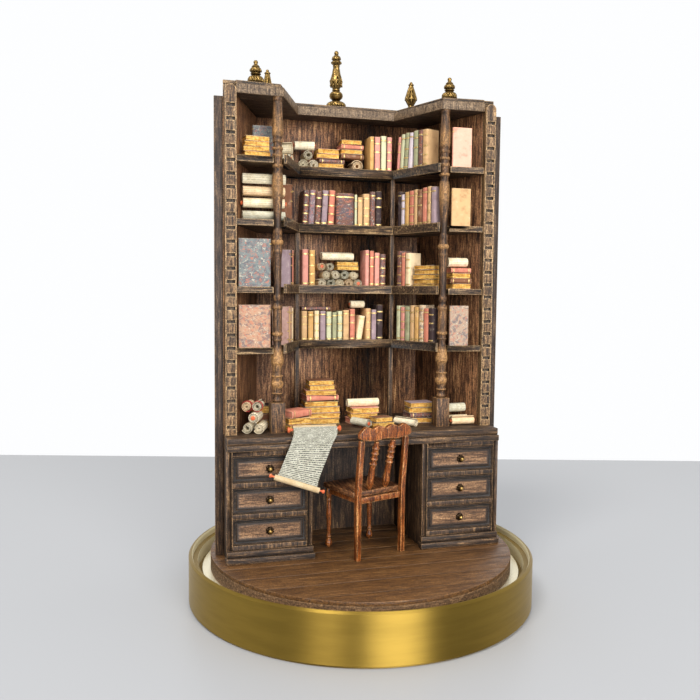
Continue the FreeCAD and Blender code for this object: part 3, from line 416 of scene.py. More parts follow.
def brass(name, base, roughness, rings, glow=0.5, metallic=1.0):
    """Turned brass: fine rings round the axis, with slight uneven tarnish and a pale painted reflection on
    faces turned in towards the axis.
    """
    make = Finish(name, roughness, metallic, 0.5)
    fine = make.noise(make.scaled(make.place, (0.02, 0.02, rings)), 1.0, 2.0, 0.6)
    tarnish = make.noise(make.scaled(make.place, (0.05, 0.05, 0.4)), 1.0, 4.0, 0.6)
    darker = tuple(c * 0.72 for c in base[:3]) + (1.0,)
    colour = make.mix(make.math("MULTIPLY", make.band(tarnish, 0.35, 0.7), glow), base, darker)
    # painted reflection: faces turned in towards the axis, such as the tray's inner wall, are mixed towards
    # a pale gold
    painted_reflection = make.tree.nodes.new("ShaderNodeVectorMath")
    painted_reflection.operation = "DOT_PRODUCT"
    make.link(make.tree.nodes.new("ShaderNodeNewGeometry").outputs["Normal"], painted_reflection.inputs[0])
    make.link(make.place, painted_reflection.inputs[1])
    colour = make.mix(make.math("MULTIPLY", make.band(painted_reflection.outputs["Value"], -10.0, -30.0), 0.85), colour,
                      tint(240, 226, 182))
    around = make.tree.nodes.new("ShaderNodeVectorMath")
    around.operation = "CROSS_PRODUCT"
    around.inputs[0].default_value = (0.0, 0.0, 1.0)
    make.link(make.place, around.inputs[1])
    make.link(around.outputs["Vector"], make.shader.inputs["Tangent"])
    make.shader.inputs["Anisotropic"].default_value = 0.98
    make.shader.inputs["Anisotropic Rotation"].default_value = 0.25
    return make.finish(colour, make.band(fine, 0.3, 0.7, roughness - 0.02, roughness + 0.03))


brushed_brass = brass("brushed_brass", tint(158, 130, 58), 0.46, 6.0)
polished_brass = brass("polished_brass", tint(240, 230, 198), 0.20, 1.5, 0.1, 0.55)


def gilt_metal(name, bright, deep, recess=0.45):
    """Old gold casting: bright on its ridges, with dark brown painted shade in its hollows."""
    make = Finish(name, 0.36, 1.0, 0.5)
    pits = make.noise(make.place, 2.6, 4.0, 0.7)
    colour = make.mix(make.band(pits, 0.42, 0.72), bright, tuple((b + d) / 2 for b, d in zip(bright, deep)))
    # painted shade: hollows found by an ambient occlusion node are darkened towards the deep colour
    colour = make.mix(make.math("MULTIPLY", make.crevices(recess, low=0.45, high=0.98), 0.95), colour, deep)
    make.bump(pits, 0.05, 0.5)
    return make.finish(colour, make.band(pits, 0.35, 0.7, 0.30, 0.55))


antique_gold = gilt_metal("antique_gold", tint(146, 118, 68), tint(26, 16, 9), 1.2)
knob_metal = gilt_metal("knob_metal", tint(176, 144, 84), tint(30, 20, 12), 0.3)
knob_plate = gilt_metal("knob_plate", tint(52, 40, 28), tint(10, 8, 6), 0.3)


def dyed_cloth():
    """Book cloth in the dye colour of each book, rubbed pale on edges, dirtied in patches, and darkened by
    painted shade in its recesses.
    """
    make = Finish("book_cloth", 0.72, 0.0, 0.3)
    dye = make.attribute("dye").outputs["Color"]
    leaf = make.attribute("leaf").outputs["Vector"]
    mottle = make.noise(leaf, 0.45, 5.0, 0.65)
    weave = make.noise(leaf, 7.0, 2.0, 0.5)
    colour = make.mix(make.math("MULTIPLY", make.band(mottle, 0.50, 0.74), 0.45),
                      dye, tint(150, 118, 96), "MULTIPLY")
    colour = make.mix(make.math("MULTIPLY", make.band(mottle, 0.46, 0.28), 0.25),
                      colour, tint(240, 220, 190))
    rub = make.math("MULTIPLY", make.edges(0.20), make.band(weave, 0.30, 0.55))
    colour = make.mix(make.math("MULTIPLY", rub, 0.75), colour, tint(232, 204, 160))
    # painted shade: recesses and gaps between books, found by an ambient occlusion node, are darkened
    # towards a dark brown
    colour = make.mix(make.math("MULTIPLY", make.crevices(0.7), 0.85), colour, tint(34, 22, 18))
    make.bump(make.math("ADD", mottle, make.math("MULTIPLY", weave, 0.5)), 0.05, 0.6)
    return make.finish(colour)


def marbled_paper():
    """Marbled covers: veins and flecks of dark, dye and pale colours."""
    make = Finish("marbled_paper", 0.6, 0.0, 0.35)
    dye = make.attribute("dye").outputs["Color"]
    leaf = make.attribute("leaf").outputs["Vector"]
    swirl = make.noise(leaf, 0.45, 5.0, 0.7, 1.8)
    flecks = make.noise(leaf, 1.4, 4.0, 0.7, 0.8)
    colour = make.mix(make.math("MULTIPLY", make.band(swirl, 0.47, 0.58), 0.70), dye, tint(82, 80, 88))
    colour = make.mix(make.math("MULTIPLY", make.band(flecks, 0.53, 0.62), 0.75),
                      colour, tint(184, 110, 84))
    colour = make.mix(make.math("MULTIPLY", make.band(flecks, 0.42, 0.36), 0.7),
                      colour, tint(206, 190, 166))
    rub = make.math("MULTIPLY", make.edges(0.16), 0.6)
    colour = make.mix(rub, colour, tint(196, 170, 136))
    make.bump(flecks, 0.03, 0.4)
    return make.finish(colour)


def leaf_edges(name, pale, warm, deep, amount):
    """Cut edges of a book's leaves, layered across its thickness."""
    make = Finish(name, 0.8, 0.0, 0.2)
    leaf = make.attribute("leaf").outputs["Vector"]
    layers = make.noise(make.scaled(leaf, (5.5, 0.25, 0.25)), 1.0, 3.0, 0.65, 0.4)
    stain = make.noise(leaf, 0.9, 4.0, 0.7)
    colour = make.mix(make.band(stain, 0.35, 0.65), pale, warm)
    colour = make.mix(make.math("MULTIPLY", make.band(layers, 0.46, 0.66), amount), colour, deep)
    make.bump(layers, 0.10, 0.8)
    return make.finish(colour)


book_cloth = dyed_cloth()
marbled = marbled_paper()
pale_leaves = leaf_edges("pale_leaves", tint(232, 214, 178), tint(212, 180, 130), tint(120, 84, 52), 0.75)
golden_leaves = leaf_edges("golden_leaves", tint(240, 200, 112),
                           tint(208, 146, 62), tint(104, 60, 22), 0.85)


def gold_tooling():
    make = Finish("gold_tooling", 0.45, 0.7, 0.5)
    leaf = make.attribute("leaf").outputs["Vector"]
    worn = make.noise(leaf, 3.0, 3.0, 0.7)
    return make.finish(make.mix(make.band(worn, 0.50, 0.66), tint(236, 204, 132), tint(128, 90, 52)))


tooling = gold_tooling()


def paper(name, writing, base, shade, ink=0.6):
    """Old paper, with painted shade in its recesses; writing gives rows of marks that aren't letters,
    across the leaf's length.
    """
    make = Finish(name, 0.85, 0.0, 0.2)
    leaf = make.attribute("leaf").outputs["Vector"]
    dye = make.attribute("dye").outputs["Color"]
    stain = make.noise(leaf, 0.5, 5.0, 0.65)
    grain = make.noise(leaf, 6.0, 2.0, 0.5)
    colour = make.mix(make.band(stain, 0.36, 0.70), base, shade)
    colour = make.mix(1.0, colour, dye, "MULTIPLY")
    if writing:
        split = make.tree.nodes.new("ShaderNodeSeparateXYZ")
        make.link(leaf, split.inputs[0])
        rows = make.math("FRACT", make.math("MULTIPLY", split.outputs[1], writing))
        line = make.math("MULTIPLY", make.band(rows, 0.18, 0.28), make.band(rows, 0.72, 0.62))
        strokes = make.band(make.noise(make.scaled(leaf, (2.4, writing, 0.0)), 1.0, 2.0, 0.8), 0.40, 0.50)
        colour = make.mix(make.math("MULTIPLY", make.math("MULTIPLY", line, strokes), ink), colour,
                          tint(44, 42, 44))
    # painted shade: recesses, such as the spirals of the rolls, found by an ambient occlusion node are
    # darkened towards a brown
    colour = make.mix(make.math("MULTIPLY", make.crevices(0.6), 0.35), colour, tint(112, 82, 56))
    make.bump(make.math("ADD", stain, make.math("MULTIPLY", grain, 0.3)), 0.06, 0.6)
    return make.finish(colour)


scroll_paper = paper("scroll_paper", 2.2, tint(250, 240, 218), tint(226, 210, 178), 0.30)
written_paper = paper("written_paper", 1.9, tint(180, 178, 162), tint(146, 144, 128), 0.95)


def painted(name, colour, worn_colour):
    make = Finish(name, 0.5, 0.0, 0.4)
    chips = make.noise(make.place, 1.6, 4.0, 0.7)
    make.bump(chips, 0.04, 0.4)
    return make.finish(make.mix(make.band(chips, 0.48, 0.66), colour, worn_colour))


rod_paint = painted("rod_paint", tint(196, 88, 48), tint(222, 140, 92))
ribbon_red = painted("ribbon_red", tint(158, 36, 34), tint(196, 84, 72))


# ---------------------------------------------------------------- wooden pieces
CARRIED = {
    "brass_tray": brushed_brass, "tray_floor_plate": polished_brass, "floor_disc": disc_wood,
}
for node, finish in CARRIED.items():
    set_finish(NODES[node], finish)


def eased(node, body, slot, finish, width):
    """A wooden piece with its sharp edges taken off, as sandpaper leaves them."""
    piece = copy_of(NODES[node], node + "_eased")
    piece.parent = None
    for key in list(piece.keys()):
        del piece[key]
    edit(piece)
    bpy.ops.mesh.select_all(action="SELECT")
    bpy.ops.mesh.remove_doubles(threshold=2e-6)
    bpy.ops.mesh.dissolve_limited(angle_limit=math.radians(0.6))
    done()
    apply_modifier(piece, "BEVEL", width=width * MM, segments=2, limit_method="ANGLE",
                   angle_limit=math.radians(40), use_clamp_overlap=True)
    smooth(piece, 32)
    set_finish(piece, finish)
    return ride(piece, body, slot, node)


# node, body, slot, finish, and width of the eased edges in millimetres
WOODWORK = [
    ("floor_boards", "bookcase", "floor_wood", floor_wood, 0.12),
    ("side_board_left", "bookcase", "case_wood", case_wood, 0.18),
    ("side_board_right", "bookcase", "case_wood", case_wood, 0.18),
    ("back_panel", "bookcase", "case_wood", lining_wood, 0.12),
    ("side_linings", "bookcase", "lining_wood", lining_wood, 0.10),
    ("dentil_post_left", "bookcase", "worn_wood", post_wood, 0.10),
    ("dentil_post_right", "bookcase", "worn_wood", post_wood, 0.10),
    ("column_left", "bookcase", "turned_wood", turned_wood, 0.08),
    ("column_right", "bookcase", "turned_wood", turned_wood, 0.08),
    ("corner_uprights", "bookcase", "shelf_wood", frame_wood, 0.12),
    ("shelf_1", "bookcase", "shelf_wood", shelf_wood, 0.12),
    ("shelf_2", "bookcase", "shelf_wood", shelf_wood, 0.12),
    ("shelf_3", "bookcase", "shelf_wood", shelf_wood, 0.12),
    ("shelf_4", "bookcase", "shelf_wood", shelf_wood, 0.12),
    ("cornice_board", "bookcase", "worn_wood", cornice_wood, 0.22),
    ("cornice_cap", "bookcase", "shelf_wood", shelf_wood, 0.16),
    ("desk_top", "bookcase", "shelf_wood", desk_wood, 0.30),
    ("desk_moulding", "bookcase", "shelf_wood", desk_wood, 0.22),
    ("face_frames", "bookcase", "case_wood", frame_wood, 0.14),
    ("cabinet_plinths", "bookcase", "case_wood", desk_wood, 0.25),
    ("cabinet_left", "bookcase", "case_wood", frame_wood, 0.12),
    ("cabinet_right", "bookcase", "case_wood", frame_wood, 0.12),
    ("kneehole_back", "bookcase", "case_wood", case_wood, 0.10),
    ("chair_seat", "chair", "chair_wood", seat_wood, 0.30),
    ("chair_back_legs", "chair", "chair_wood", chair_wood, 0.18),
    ("chair_front_legs", "chair", "chair_wood", chair_wood, 0.06),
    ("chair_seat_rails", "chair", "chair_wood", chair_wood, 0.14),
    ("chair_crest_rail", "chair", "chair_wood", chair_wood, 0.28),
    ("chair_spindles", "chair", "chair_wood", chair_wood, 0.06),
]
for entry in WOODWORK:
    eased(*entry)


# ---------------------------------------------------------------- drawers
FIELD_RIM = 2.2
KNOB_TALL = 1.72
KNOB_STEPS = 32
KNOB_STRETCH = 1.15


def model_drawer_front():
    """Dark bevelled surround round a raised, paler field, at the right middle drawer, face to -Y."""
    low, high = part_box("drawer_front_right_middle")
    size = [(b - a) / MM for a, b in zip(low, high)]
    centre = [(a + b) / 2 / MM for a, b in zip(low, high)]
    piece = block("drawer_front", centre, size)
    edit(piece)
    bpy.ops.mesh.select_all(action="SELECT")
    bpy.ops.mesh.normals_make_consistent(inside=False)
    pick(piece, "faces", lambda f: f.normal.y < -0.9)
    bpy.ops.mesh.inset(thickness=0.22 * MM)
    bpy.ops.mesh.inset(thickness=0.10 * MM, depth=-0.40 * MM)
    bpy.ops.mesh.inset(thickness=0.62 * MM, depth=-0.12 * MM)
    bpy.ops.mesh.inset(thickness=0.24 * MM, depth=0.36 * MM)
    bpy.ops.mesh.inset(thickness=0.04 * MM)
    bpy.ops.mesh.inset(thickness=1.25 * MM)
    bpy.ops.mesh.select_more()
    field = {f.index for f in bmesh.from_edit_mesh(piece.data).faces if f.select}
    done()
    rim = piece.data.attributes.new("rim", "FLOAT", "POINT")
    half_wide, half_tall = size[0] / 2 - FIELD_RIM, size[2] / 2 - FIELD_RIM
    for vert in piece.data.vertices:
        inside = abs(vert.co.x / MM - centre[0]) < half_wide and abs(vert.co.z / MM - centre[2]) < half_tall
        rim.data[vert.index].value = 0.0 if inside else 1.0
    piece.data.materials.append(surround_wood)
    piece.data.materials.append(field_wood)
    for face in piece.data.polygons:
        if face.index in field:
            face.material_index = 1
    apply_modifier(piece, "BEVEL", width=0.07 * MM, segments=2, limit_method="ANGLE",
                   angle_limit=math.radians(20))
    smooth(piece, 30)
    return piece, low


def model_knob():
    """Rosette back plate of eight petals with a ball on a neck, pointing up until it is turned."""
    profile = [(0.0, 0.0), (1.20, 0.0), (1.25, 0.14), (1.12, 0.34), (0.80, 0.36),
               (0.74, 0.24), (0.44, 0.30), (0.34, 0.50), (0.30, 0.72), (0.48, 0.86),
               (0.62, 1.10), (0.62, 1.34), (0.46, 1.58), (0.22, 1.70), (0.0, KNOB_TALL)]
    piece = lathe("drawer_knob", profile, steps=KNOB_STEPS)
    flute(piece, (0, 0, 0), 0.0, 0.26, 8, 0.82, KNOB_STEPS)
    edit(piece)
    pick(piece, "verts", lambda v: math.hypot(v.co.x, v.co.y) > 1.0 * MM and v.co.z > 0.2 * MM
         and round(math.atan2(v.co.y, v.co.x) / (2 * math.pi) * KNOB_STEPS) % 4 == 0)
    bpy.ops.transform.resize(value=(0.86, 0.86, 0.7), center_override=(0, 0, 0))
    done()
    smooth(piece, 50)
    set_finish(piece, knob_metal, knob_plate)
    for face in piece.data.polygons:
        face.material_index = 1 if face.center.z < 0.42 * MM else 0
    return piece


drawer_master, master_low = model_drawer_front()
knob_master = model_knob()
for side in ("left", "right"):
    for level in ("bottom", "middle", "top"):
        tag = side + "_" + level
        body = "drawer_" + tag
        low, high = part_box("drawer_front_" + tag)
        front = copy_of(drawer_master, "drawer_front_panelled_" + tag)
        front.data.transform(Matrix.Translation(low - master_low))
        ride(front, body, "drawer_wood", "drawer_front_" + tag)
        low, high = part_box("drawer_knob_" + tag)
        knob = copy_of(knob_master, "drawer_knob_rosette_" + tag)
        middle = (low + high) / 2
        place = Matrix.Translation((middle.x, high.y, middle.z)) @ Matrix.Rotation(math.radians(90), 4, "X")
        reach = (high.y - low.y) / (KNOB_TALL * MM)
        knob.data.transform(place @ Matrix.Diagonal((1, 1, min(reach, KNOB_STRETCH), 1)))
        ride(knob, body, "knob_metal", "drawer_knob_" + tag)
        set_finish(NODES["drawer_box_" + tag], frame_wood)
bpy.data.objects.remove(drawer_master)
bpy.data.objects.remove(knob_master)


# ---------------------------------------------------------------- finials
BEAD_LEAN = -0.35
FINIAL_STEPS = 48


def beads_round(piece_list, centre, radius, count, size, stretch=1.0):
    """A ring of small beads; the bead is modelled once and copied."""
    deselect()
    bpy.ops.mesh.primitive_ico_sphere_add(subdivisions=2, radius=size * MM)
    bead = bpy.context.object
    bead.data.transform(Matrix.Diagonal((1.0, 1.0, stretch, 1.0)))
    for number in range(count):
        turn = 2 * math.pi * number / count
        twin = copy_of(bead, "bead")
        x = centre[0] + radius * math.cos(turn)
        y = centre[1] + radius * math.sin(turn)
        place = Matrix.Translation(Vector((x, y, centre[2])) * MM) @ Matrix.Rotation(turn, 4, "Z")
        twin.data.transform(place @ Matrix.Rotation(BEAD_LEAN, 4, "Y"))
        piece_list.append(twin)
    bpy.data.objects.remove(bead)


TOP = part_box("cornice_cap")[1].z / MM


def tall_finial(x, y):
    """Petalled foot, ringed ball, pierced oval, ribbed taper and petal cup with a bud."""
    profile = [(0.0, 0), (2.6, 0), (3.1, 0.35), (3.2, 0.9), (2.9, 1.5), (2.2, 1.9), (1.5, 2.1),
               (1.25, 2.35), (1.5, 2.7), (2.05, 3.2), (2.2, 3.7), (2.25, 3.85), (2.1, 4.0),
               (2.2, 4.2), (2.05, 4.6), (1.6, 5.1), (1.15, 5.4), (1.3, 5.6), (1.3, 5.9),
               (1.1, 6.1), (1.6, 6.8), (2.0, 7.6), (2.1, 8.4), (1.9, 9.3), (1.6, 10.2),
               (1.35, 11.2), (1.2, 12.2), (1.0, 13.0), (1.15, 13.2), (1.15, 13.5), (1.0, 13.7),
               (1.6, 14.2), (1.75, 14.6), (1.3, 15.0), (1.2, 15.2), (1.55, 15.6), (1.35, 16.3),
               (0.8, 16.8), (0.55, 17.0), (0.75, 17.4), (0.72, 17.8), (0.4, 18.25), (0.0, 18.4)]
    at = (x, y, TOP)
    piece = lathe("finial", profile, at, FINIAL_STEPS)
    flute(piece, at, 0.2, 1.7, 12, 0.84, FINIAL_STEPS)
    flute(piece, at, 6.6, 9.4, 8, 0.80, FINIAL_STEPS)
    flute(piece, at, 9.9, 12.6, 12, 0.88, FINIAL_STEPS)
    flute(piece, at, 14.1, 14.8, 8, 0.78, FINIAL_STEPS)
    flute(piece, at, 15.5, 16.4, 8, 0.86, FINIAL_STEPS)
    parts = [piece]
    beads_round(parts, (x, y, TOP + 0.75), 2.9, 12, 0.42, 1.5)
    beads_round(parts, (x, y, TOP + 7.2), 1.82, 8, 0.34, 1.4)
    beads_round(parts, (x, y, TOP + 8.6), 1.92, 8, 0.30, 1.4)
    beads_round(parts, (x, y, TOP + 14.5), 1.55, 8, 0.28, 1.2)
    return parts


def squat_finial(x, y):
    """Fluted bowl, ring and petalled bud with a ball tip."""
    profile = [(0.0, 0), (1.7, 0), (2.1, 0.3), (2.4, 0.9), (2.35, 1.5), (2.0, 2.0),
               (1.4, 2.35), (1.15, 2.55), (1.5, 2.8), (1.55, 3.0), (1.2, 3.2), (1.6, 3.6),
               (1.75, 4.0), (1.5, 4.5), (1.1, 4.8), (1.2, 5.0), (0.95, 5.3), (0.6, 5.6),
               (0.5, 5.8), (0.66, 6.1), (0.66, 6.4), (0.45, 6.75), (0.0, 6.9)]
    at = (x, y, TOP)
    piece = lathe("finial", profile, at, FINIAL_STEPS)
    flute(piece, at, 0.2, 2.1, 16, 0.85, FINIAL_STEPS)
    flute(piece, at, 3.5, 4.6, 8, 0.80, FINIAL_STEPS)
    parts = [piece]
    beads_round(parts, (x, y, TOP + 1.0), 2.12, 16, 0.26, 2.2)
    beads_round(parts, (x, y, TOP + 3.9), 1.5, 8, 0.32, 1.4)
    return parts


def cone_finial(x, y):
    """Flared filigree skirt with a small knob."""
    profile = [(0.0, 0), (1.5, 0), (1.9, 0.3), (1.9, 0.7), (1.65, 1.0), (1.5, 1.7),
               (1.3, 2.7), (1.05, 3.8), (0.85, 4.8), (0.75, 5.3), (0.95, 5.5), (0.95, 5.7),
               (0.6, 5.95), (0.45, 6.15), (0.5, 6.4), (0.3, 6.65), (0.0, 6.7)]
    at = (x, y, TOP)
    piece = lathe("finial", profile, at, FINIAL_STEPS)
    flute(piece, at, 0.9, 4.9, 12, 0.80, FINIAL_STEPS)
    parts = [piece]
    beads_round(parts, (x, y, TOP + 0.5), 1.62, 12, 0.28, 1.6)
    beads_round(parts, (x, y, TOP + 2.0), 1.30, 8, 0.24, 2.0)
    return parts


def drop_finial(x, y):
    """Filigree tear drop on a short stem."""
    profile = [(0.0, 0), (0.75, 0), (1.0, 0.25), (0.85, 0.6), (1.1, 0.9), (1.6, 1.8), (1.95, 2.6),
               (2.0, 3.1), (1.7, 4.0), (1.4, 5.0), (1.05, 6.0), (0.8, 6.7), (0.72, 7.0),
               (0.9, 7.2), (0.9, 7.4), (0.5, 7.65), (0.5, 7.9), (0.32, 8.2), (0.0, 8.3)]
    at = (x, y, TOP)
    piece = lathe("finial", profile, at, FINIAL_STEPS)
    flute(piece, at, 0.8, 6.3, 12, 0.82, FINIAL_STEPS)
    parts = [piece]
    beads_round(parts, (x, y, TOP + 2.7), 1.82, 12, 0.24, 1.8)
    beads_round(parts, (x, y, TOP + 4.2), 1.45, 8, 0.22, 2.0)
    return parts


def finished_finials(name, parts, node):
    for part in parts:
        set_finish(part, antique_gold)
    piece = join(parts, name)
    smooth(piece, 55)
    ride(piece, "bookcase", "antique_gold", node)


def middle_of(points):
    low = Vector([min(p[i] for p in points) for i in range(3)])
    high = Vector([max(p[i] for p in points) for i in range(3)])
    return (low + high) / 2


def solids_of(node):
    """The corner points of each separate solid in a node, in millimetres."""
    shape = bmesh.new()
    shape.from_mesh(NODES[node].data)
    bmesh.ops.remove_doubles(shape, verts=shape.verts, dist=2e-6)
    shape.verts.ensure_lookup_table()
    seen = set()
    groups = []
    for start in shape.verts:
        if start.index in seen:
            continue
        seen.add(start.index)
        stack = [start]
        group = []
        while stack:
            vert = stack.pop()
            group.append(vert.co / MM)
            for line in vert.link_edges:
                other = line.other_vert(vert)
                if other.index not in seen:
                    seen.add(other.index)
                    stack.append(other)
        groups.append(group)
    shape.free()
    return groups


def finial_places(node):
    return sorted(((middle_of(points).x, middle_of(points).y) for points in solids_of(node)))


finished_finials("finial_tall_cast", tall_finial(*finial_places("finial_centre")[0]), "finial_centre")
front_pair = [part for place in finial_places("finials_front") for part in squat_finial(*place)]
finished_finials("finials_squat_cast", front_pair, "finials_front")
rear_places = finial_places("finials_rear")
finished_finials("finials_rear_cast",
                 cone_finial(*rear_places[0]) + drop_finial(*rear_places[1]), "finials_rear")


# ---------------------------------------------------------------- books
def box_edges(points):
    """The three edge vectors, at right angles, of a box given by its eight corners."""
    origin = points[0]
    arms = sorted((p - origin for p in points[1:]), key=lambda a: a.length)
    longest = arms[-1].length
    for i in range(len(arms)):
        for j in range(i + 1, len(arms)):
            for k in range(j + 1, len(arms)):
                a, b, c = arms[i], arms[j], arms[k]
                square = abs(a.dot(b)) + abs(b.dot(c)) + abs(a.dot(c)) < 0.02
                if square and abs((a + b + c).length - longest) < 0.02:
                    return [a, b, c]
    raise ValueError("a book's solid isn't a box")


def tag_leaf(piece):
    """Keeps the master's own place of each point, so a pattern follows the piece."""
    mesh = piece.data
    leaf = mesh.attributes.new("leaf", "FLOAT_VECTOR", "POINT")
    for number, vert in enumerate(mesh.vertices):
        leaf.data[number].vector = vert.co / MM


def dye_piece(piece, colour, shift):
    mesh = piece.data
    leaf = mesh.attributes["leaf"]
    for item in leaf.data:
        item.vector = Vector(item.vector) + shift
    dye = mesh.attributes.new("dye", "FLOAT_COLOR", "POINT")
    for item in dye.data:
        item.color = colour


BOOK_THICK, BOOK_DEEP, BOOK_TALL = 2.0, 6.0, 12.0


def model_bound_book(name, bands, label):
    """Bound book of 2 x 6 x 12 mm: rounded spine to -Y, leaves set back between the boards."""
    piece = block(name, (0, 0, 0), (BOOK_THICK, BOOK_DEEP, BOOK_TALL))
    edit(piece)
    pick(piece, "faces", lambda f: f.normal.y > 0.9 or abs(f.normal.z) > 0.9)
    bpy.ops.mesh.inset(thickness=0.26 * MM)
    bpy.ops.mesh.extrude_region_shrink_fatten(TRANSFORM_OT_shrink_fatten={"value": -0.30 * MM})
    done()
    pages = [face.index for face in piece.data.polygons if face.select]
    piece.data.attributes.new("pages", "BOOLEAN", "FACE")
    for index in pages:
        piece.data.attributes["pages"].data[index].value = True
    edit(piece)
    pick(piece, "edges", lambda e: all(v.co.y < -2.99 * MM and abs(v.co.x) > 0.99 * MM for v in e.verts)
         and abs(e.verts[0].co.z - e.verts[1].co.z) > 5 * MM)
    bpy.ops.mesh.bevel(offset=0.62 * MM, segments=3)
    heights = sorted(h for b in bands for h in (b - 0.17, b + 0.17)) + ([1.4, 3.4] if label else [])
    for height in heights:
        pick(piece, "faces", lambda f: f.normal.y < -0.2 and f.calc_center_median().y < -2.3 * MM)
        bpy.ops.mesh.bisect(plane_co=(0, 0, height * MM), plane_no=(0, 0, 1))

    def on_band(face):
        middle = face.calc_center_median()
        on_spine = face.normal.y < -0.3 and middle.y < -2.4 * MM
        return on_spine and any(abs(middle.z / MM - b) < 0.16 for b in bands)

    pick(piece, "faces", on_band)
    bpy.ops.mesh.extrude_region_shrink_fatten(TRANSFORM_OT_shrink_fatten={"value": 0.10 * MM})
    done()
    for finish in (book_cloth, pale_leaves, tooling, book_cloth):
        piece.data.materials.append(finish)
    inside = piece.data.attributes["pages"].data
    for face in piece.data.polygons:
        middle = face.center / MM
        if inside[face.index].value:
            face.material_index = 1
        elif face.normal.y < -0.3 and any(abs(middle.z - b) < 0.16 for b in bands):
            face.material_index = 2
        elif label and face.normal.y < -0.3 and 1.4 < middle.z < 3.4 and middle.y < -2.6:
            face.material_index = 3
    piece.data.attributes.remove(piece.data.attributes["pages"])
    smooth(piece, 40)
    tag_leaf(piece)
    return piece


def model_leaf_stack(name, seed):
    """Lying block of rough, uneven leaves between two limp covers; 2 thick, 6 deep and 12 long."""
    parts = []
    count = 6
    for number in range(count):
        shift = [rng.uniform(-0.10, 0.10) for _ in range(2)]
        thick = 1.72 / count
        x = -0.86 + (number + 0.5) * thick
        part = block("leaves", (x, shift[0], shift[1]),
                     (thick * 1.06, 5.62 - rng.random() * 0.25, 11.5 - rng.random() * 0.4))
        set_finish(part, book_cloth, golden_leaves)
        for face in part.data.polygons:
            face.material_index = 1
        parts.append(part)
    for x in (-0.93, 0.93):
        cover = block("cover", (x, 0, 0), (0.13, 5.75, 11.7))
        set_finish(cover, book_cloth, golden_leaves)
        parts.append(cover)
    piece = join(parts[-2:] + parts[:-2], name)
    edit(piece)
    bpy.ops.mesh.select_all(action="SELECT")
    bpy.ops.mesh.subdivide(number_cuts=2)
    bpy.ops.transform.vertex_random(offset=0.075 * MM, uniform=0.2, normal=0.0, seed=seed)
    done()
    smooth(piece, 30)
    tag_leaf(piece)
    return piece


BOOK_DYES = {
    "pink": tint(214, 146, 130), "salmon": tint(200, 124, 100), "peach": tint(238, 172, 148),
    "mint": tint(196, 196, 158), "sage": tint(158, 158, 122), "tan": tint(204, 164, 116),
    "lilac": tint(156, 134, 138), "lilac_white": tint(206, 192, 196), "orange": tint(196, 126, 82),
    "brown": tint(124, 80, 54), "dark": tint(58, 44, 44), "grey": tint(156, 142, 124),
    "cream": tint(232, 206, 164), "wine": tint(96, 44, 42), "olive": tint(138, 126, 84),
    "gold": tint(206, 160, 96), "slate": tint(98, 104, 116), "black_green": tint(50, 50, 42),
    "rose_grey": tint(182, 144, 132),
}
MARBLED = {"marble_dark": tint(104, 70, 58), "marble_lilac": tint(142, 118, 124),
           "marble_slate": tint(112, 120, 118), "marble_rose": tint(176, 138, 110),
           "marble_cream": tint(214, 190, 152), "marble_grey": tint(166, 142, 120)}

book_masters = [
    model_bound_book("book_four_bands", (-4.3, -1.6, 1.1, 4.4), False),
    model_bound_book("book_two_bands", (-4.6, 4.6), False),
    model_bound_book("book_label", (-4.6, 1.0, 3.8), True),
    model_bound_book("book_plain", (4.7,), False),
]
stack_masters = [model_leaf_stack("leaf_stack_" + str(k), 3 + k) for k in range(3)]


def set_book(master, name, centre, thick, deep, tall, colour, leaves):
    """Copies a book; thick, deep and tall are the edges that its own X, Y and Z edges become."""
    book = copy_of(master, name)
    frame_matrix = Matrix((
        (thick.x / BOOK_THICK, deep.x / BOOK_DEEP, tall.x / BOOK_TALL, centre.x * MM),
        (thick.y / BOOK_THICK, deep.y / BOOK_DEEP, tall.y / BOOK_TALL, centre.y * MM),
        (thick.z / BOOK_THICK, deep.z / BOOK_DEEP, tall.z / BOOK_TALL, centre.z * MM),
        (0, 0, 0, 1)))
    if frame_matrix.determinant() < 0:
        frame_matrix = frame_matrix @ Matrix.Diagonal((-1, 1, 1, 1))
    book.data.transform(frame_matrix)
    cloth = book_cloth
    if colour in MARBLED:
        cloth = marbled
    dye = {**BOOK_DYES, **MARBLED}[colour]
    dye_piece(book, dye, Vector([rng.uniform(-50, 50) for _ in range(3)]))
    while len(book.data.materials) < 4:
        book.data.materials.append(None)
    for number, finish in enumerate((cloth, leaves, tooling, book_cloth)):
        book.data.materials[number] = finish
    return book


CENTRE_BAY_FRONT = 20.6
CENTRE_BAY_HALF = 16.6
WING_TURN = math.radians(67.6)


def bay_away(centre):
    """Direction from the reader into the shelf, at a place."""
    if centre.y > CENTRE_BAY_FRONT and abs(centre.x) < CENTRE_BAY_HALF:
        return Vector((0, 1, 0))
    if centre.x > 0:
        return Vector((math.sin(WING_TURN), math.cos(WING_TURN), 0))
    return Vector((-math.sin(WING_TURN), math.cos(WING_TURN), 0))


ROW_COLOURS = {
    (1, "centre"): "gold pink mint pink",
    (1, "right"): "pink mint sage lilac_white sage marble_dark tan",
    (2, "centre"): "marble_dark marble_lilac marble_dark lilac salmon marble_dark mint tan tan "
                   "marble_dark dark",
    (2, "right"): "dark lilac_white gold salmon tan brown salmon tan lilac lilac",
    (2, "left"): "brown dark",
    (3, "centre"): "pink gold pink salmon pink marble_dark",
    (3, "right"): "marble_dark salmon cream",
    (3, "left"): "lilac dark salmon",
    (4, "centre"): "tan gold cream lilac mint sage mint tan salmon cream tan lilac dark",
    (4, "right"): "mint pink sage tan gold marble_cream salmon dark black_green",
    (4, "left"): "rose_grey tan marble_rose cream",
}
SHELF_TOPS = [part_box("shelf_" + str(n))[1].z / MM for n in (1, 2, 3, 4)]


DESK_REACH = 4


def row_of(z):
    return min(range(4), key=lambda n: abs(SHELF_TOPS[n] - z)) + 1


def level_of(centre):
    """Whether a thing lies on the desk or on a shelf above it."""
    return "desk" if centre.z < SHELF_TOPS[3] - DESK_REACH else "upper"


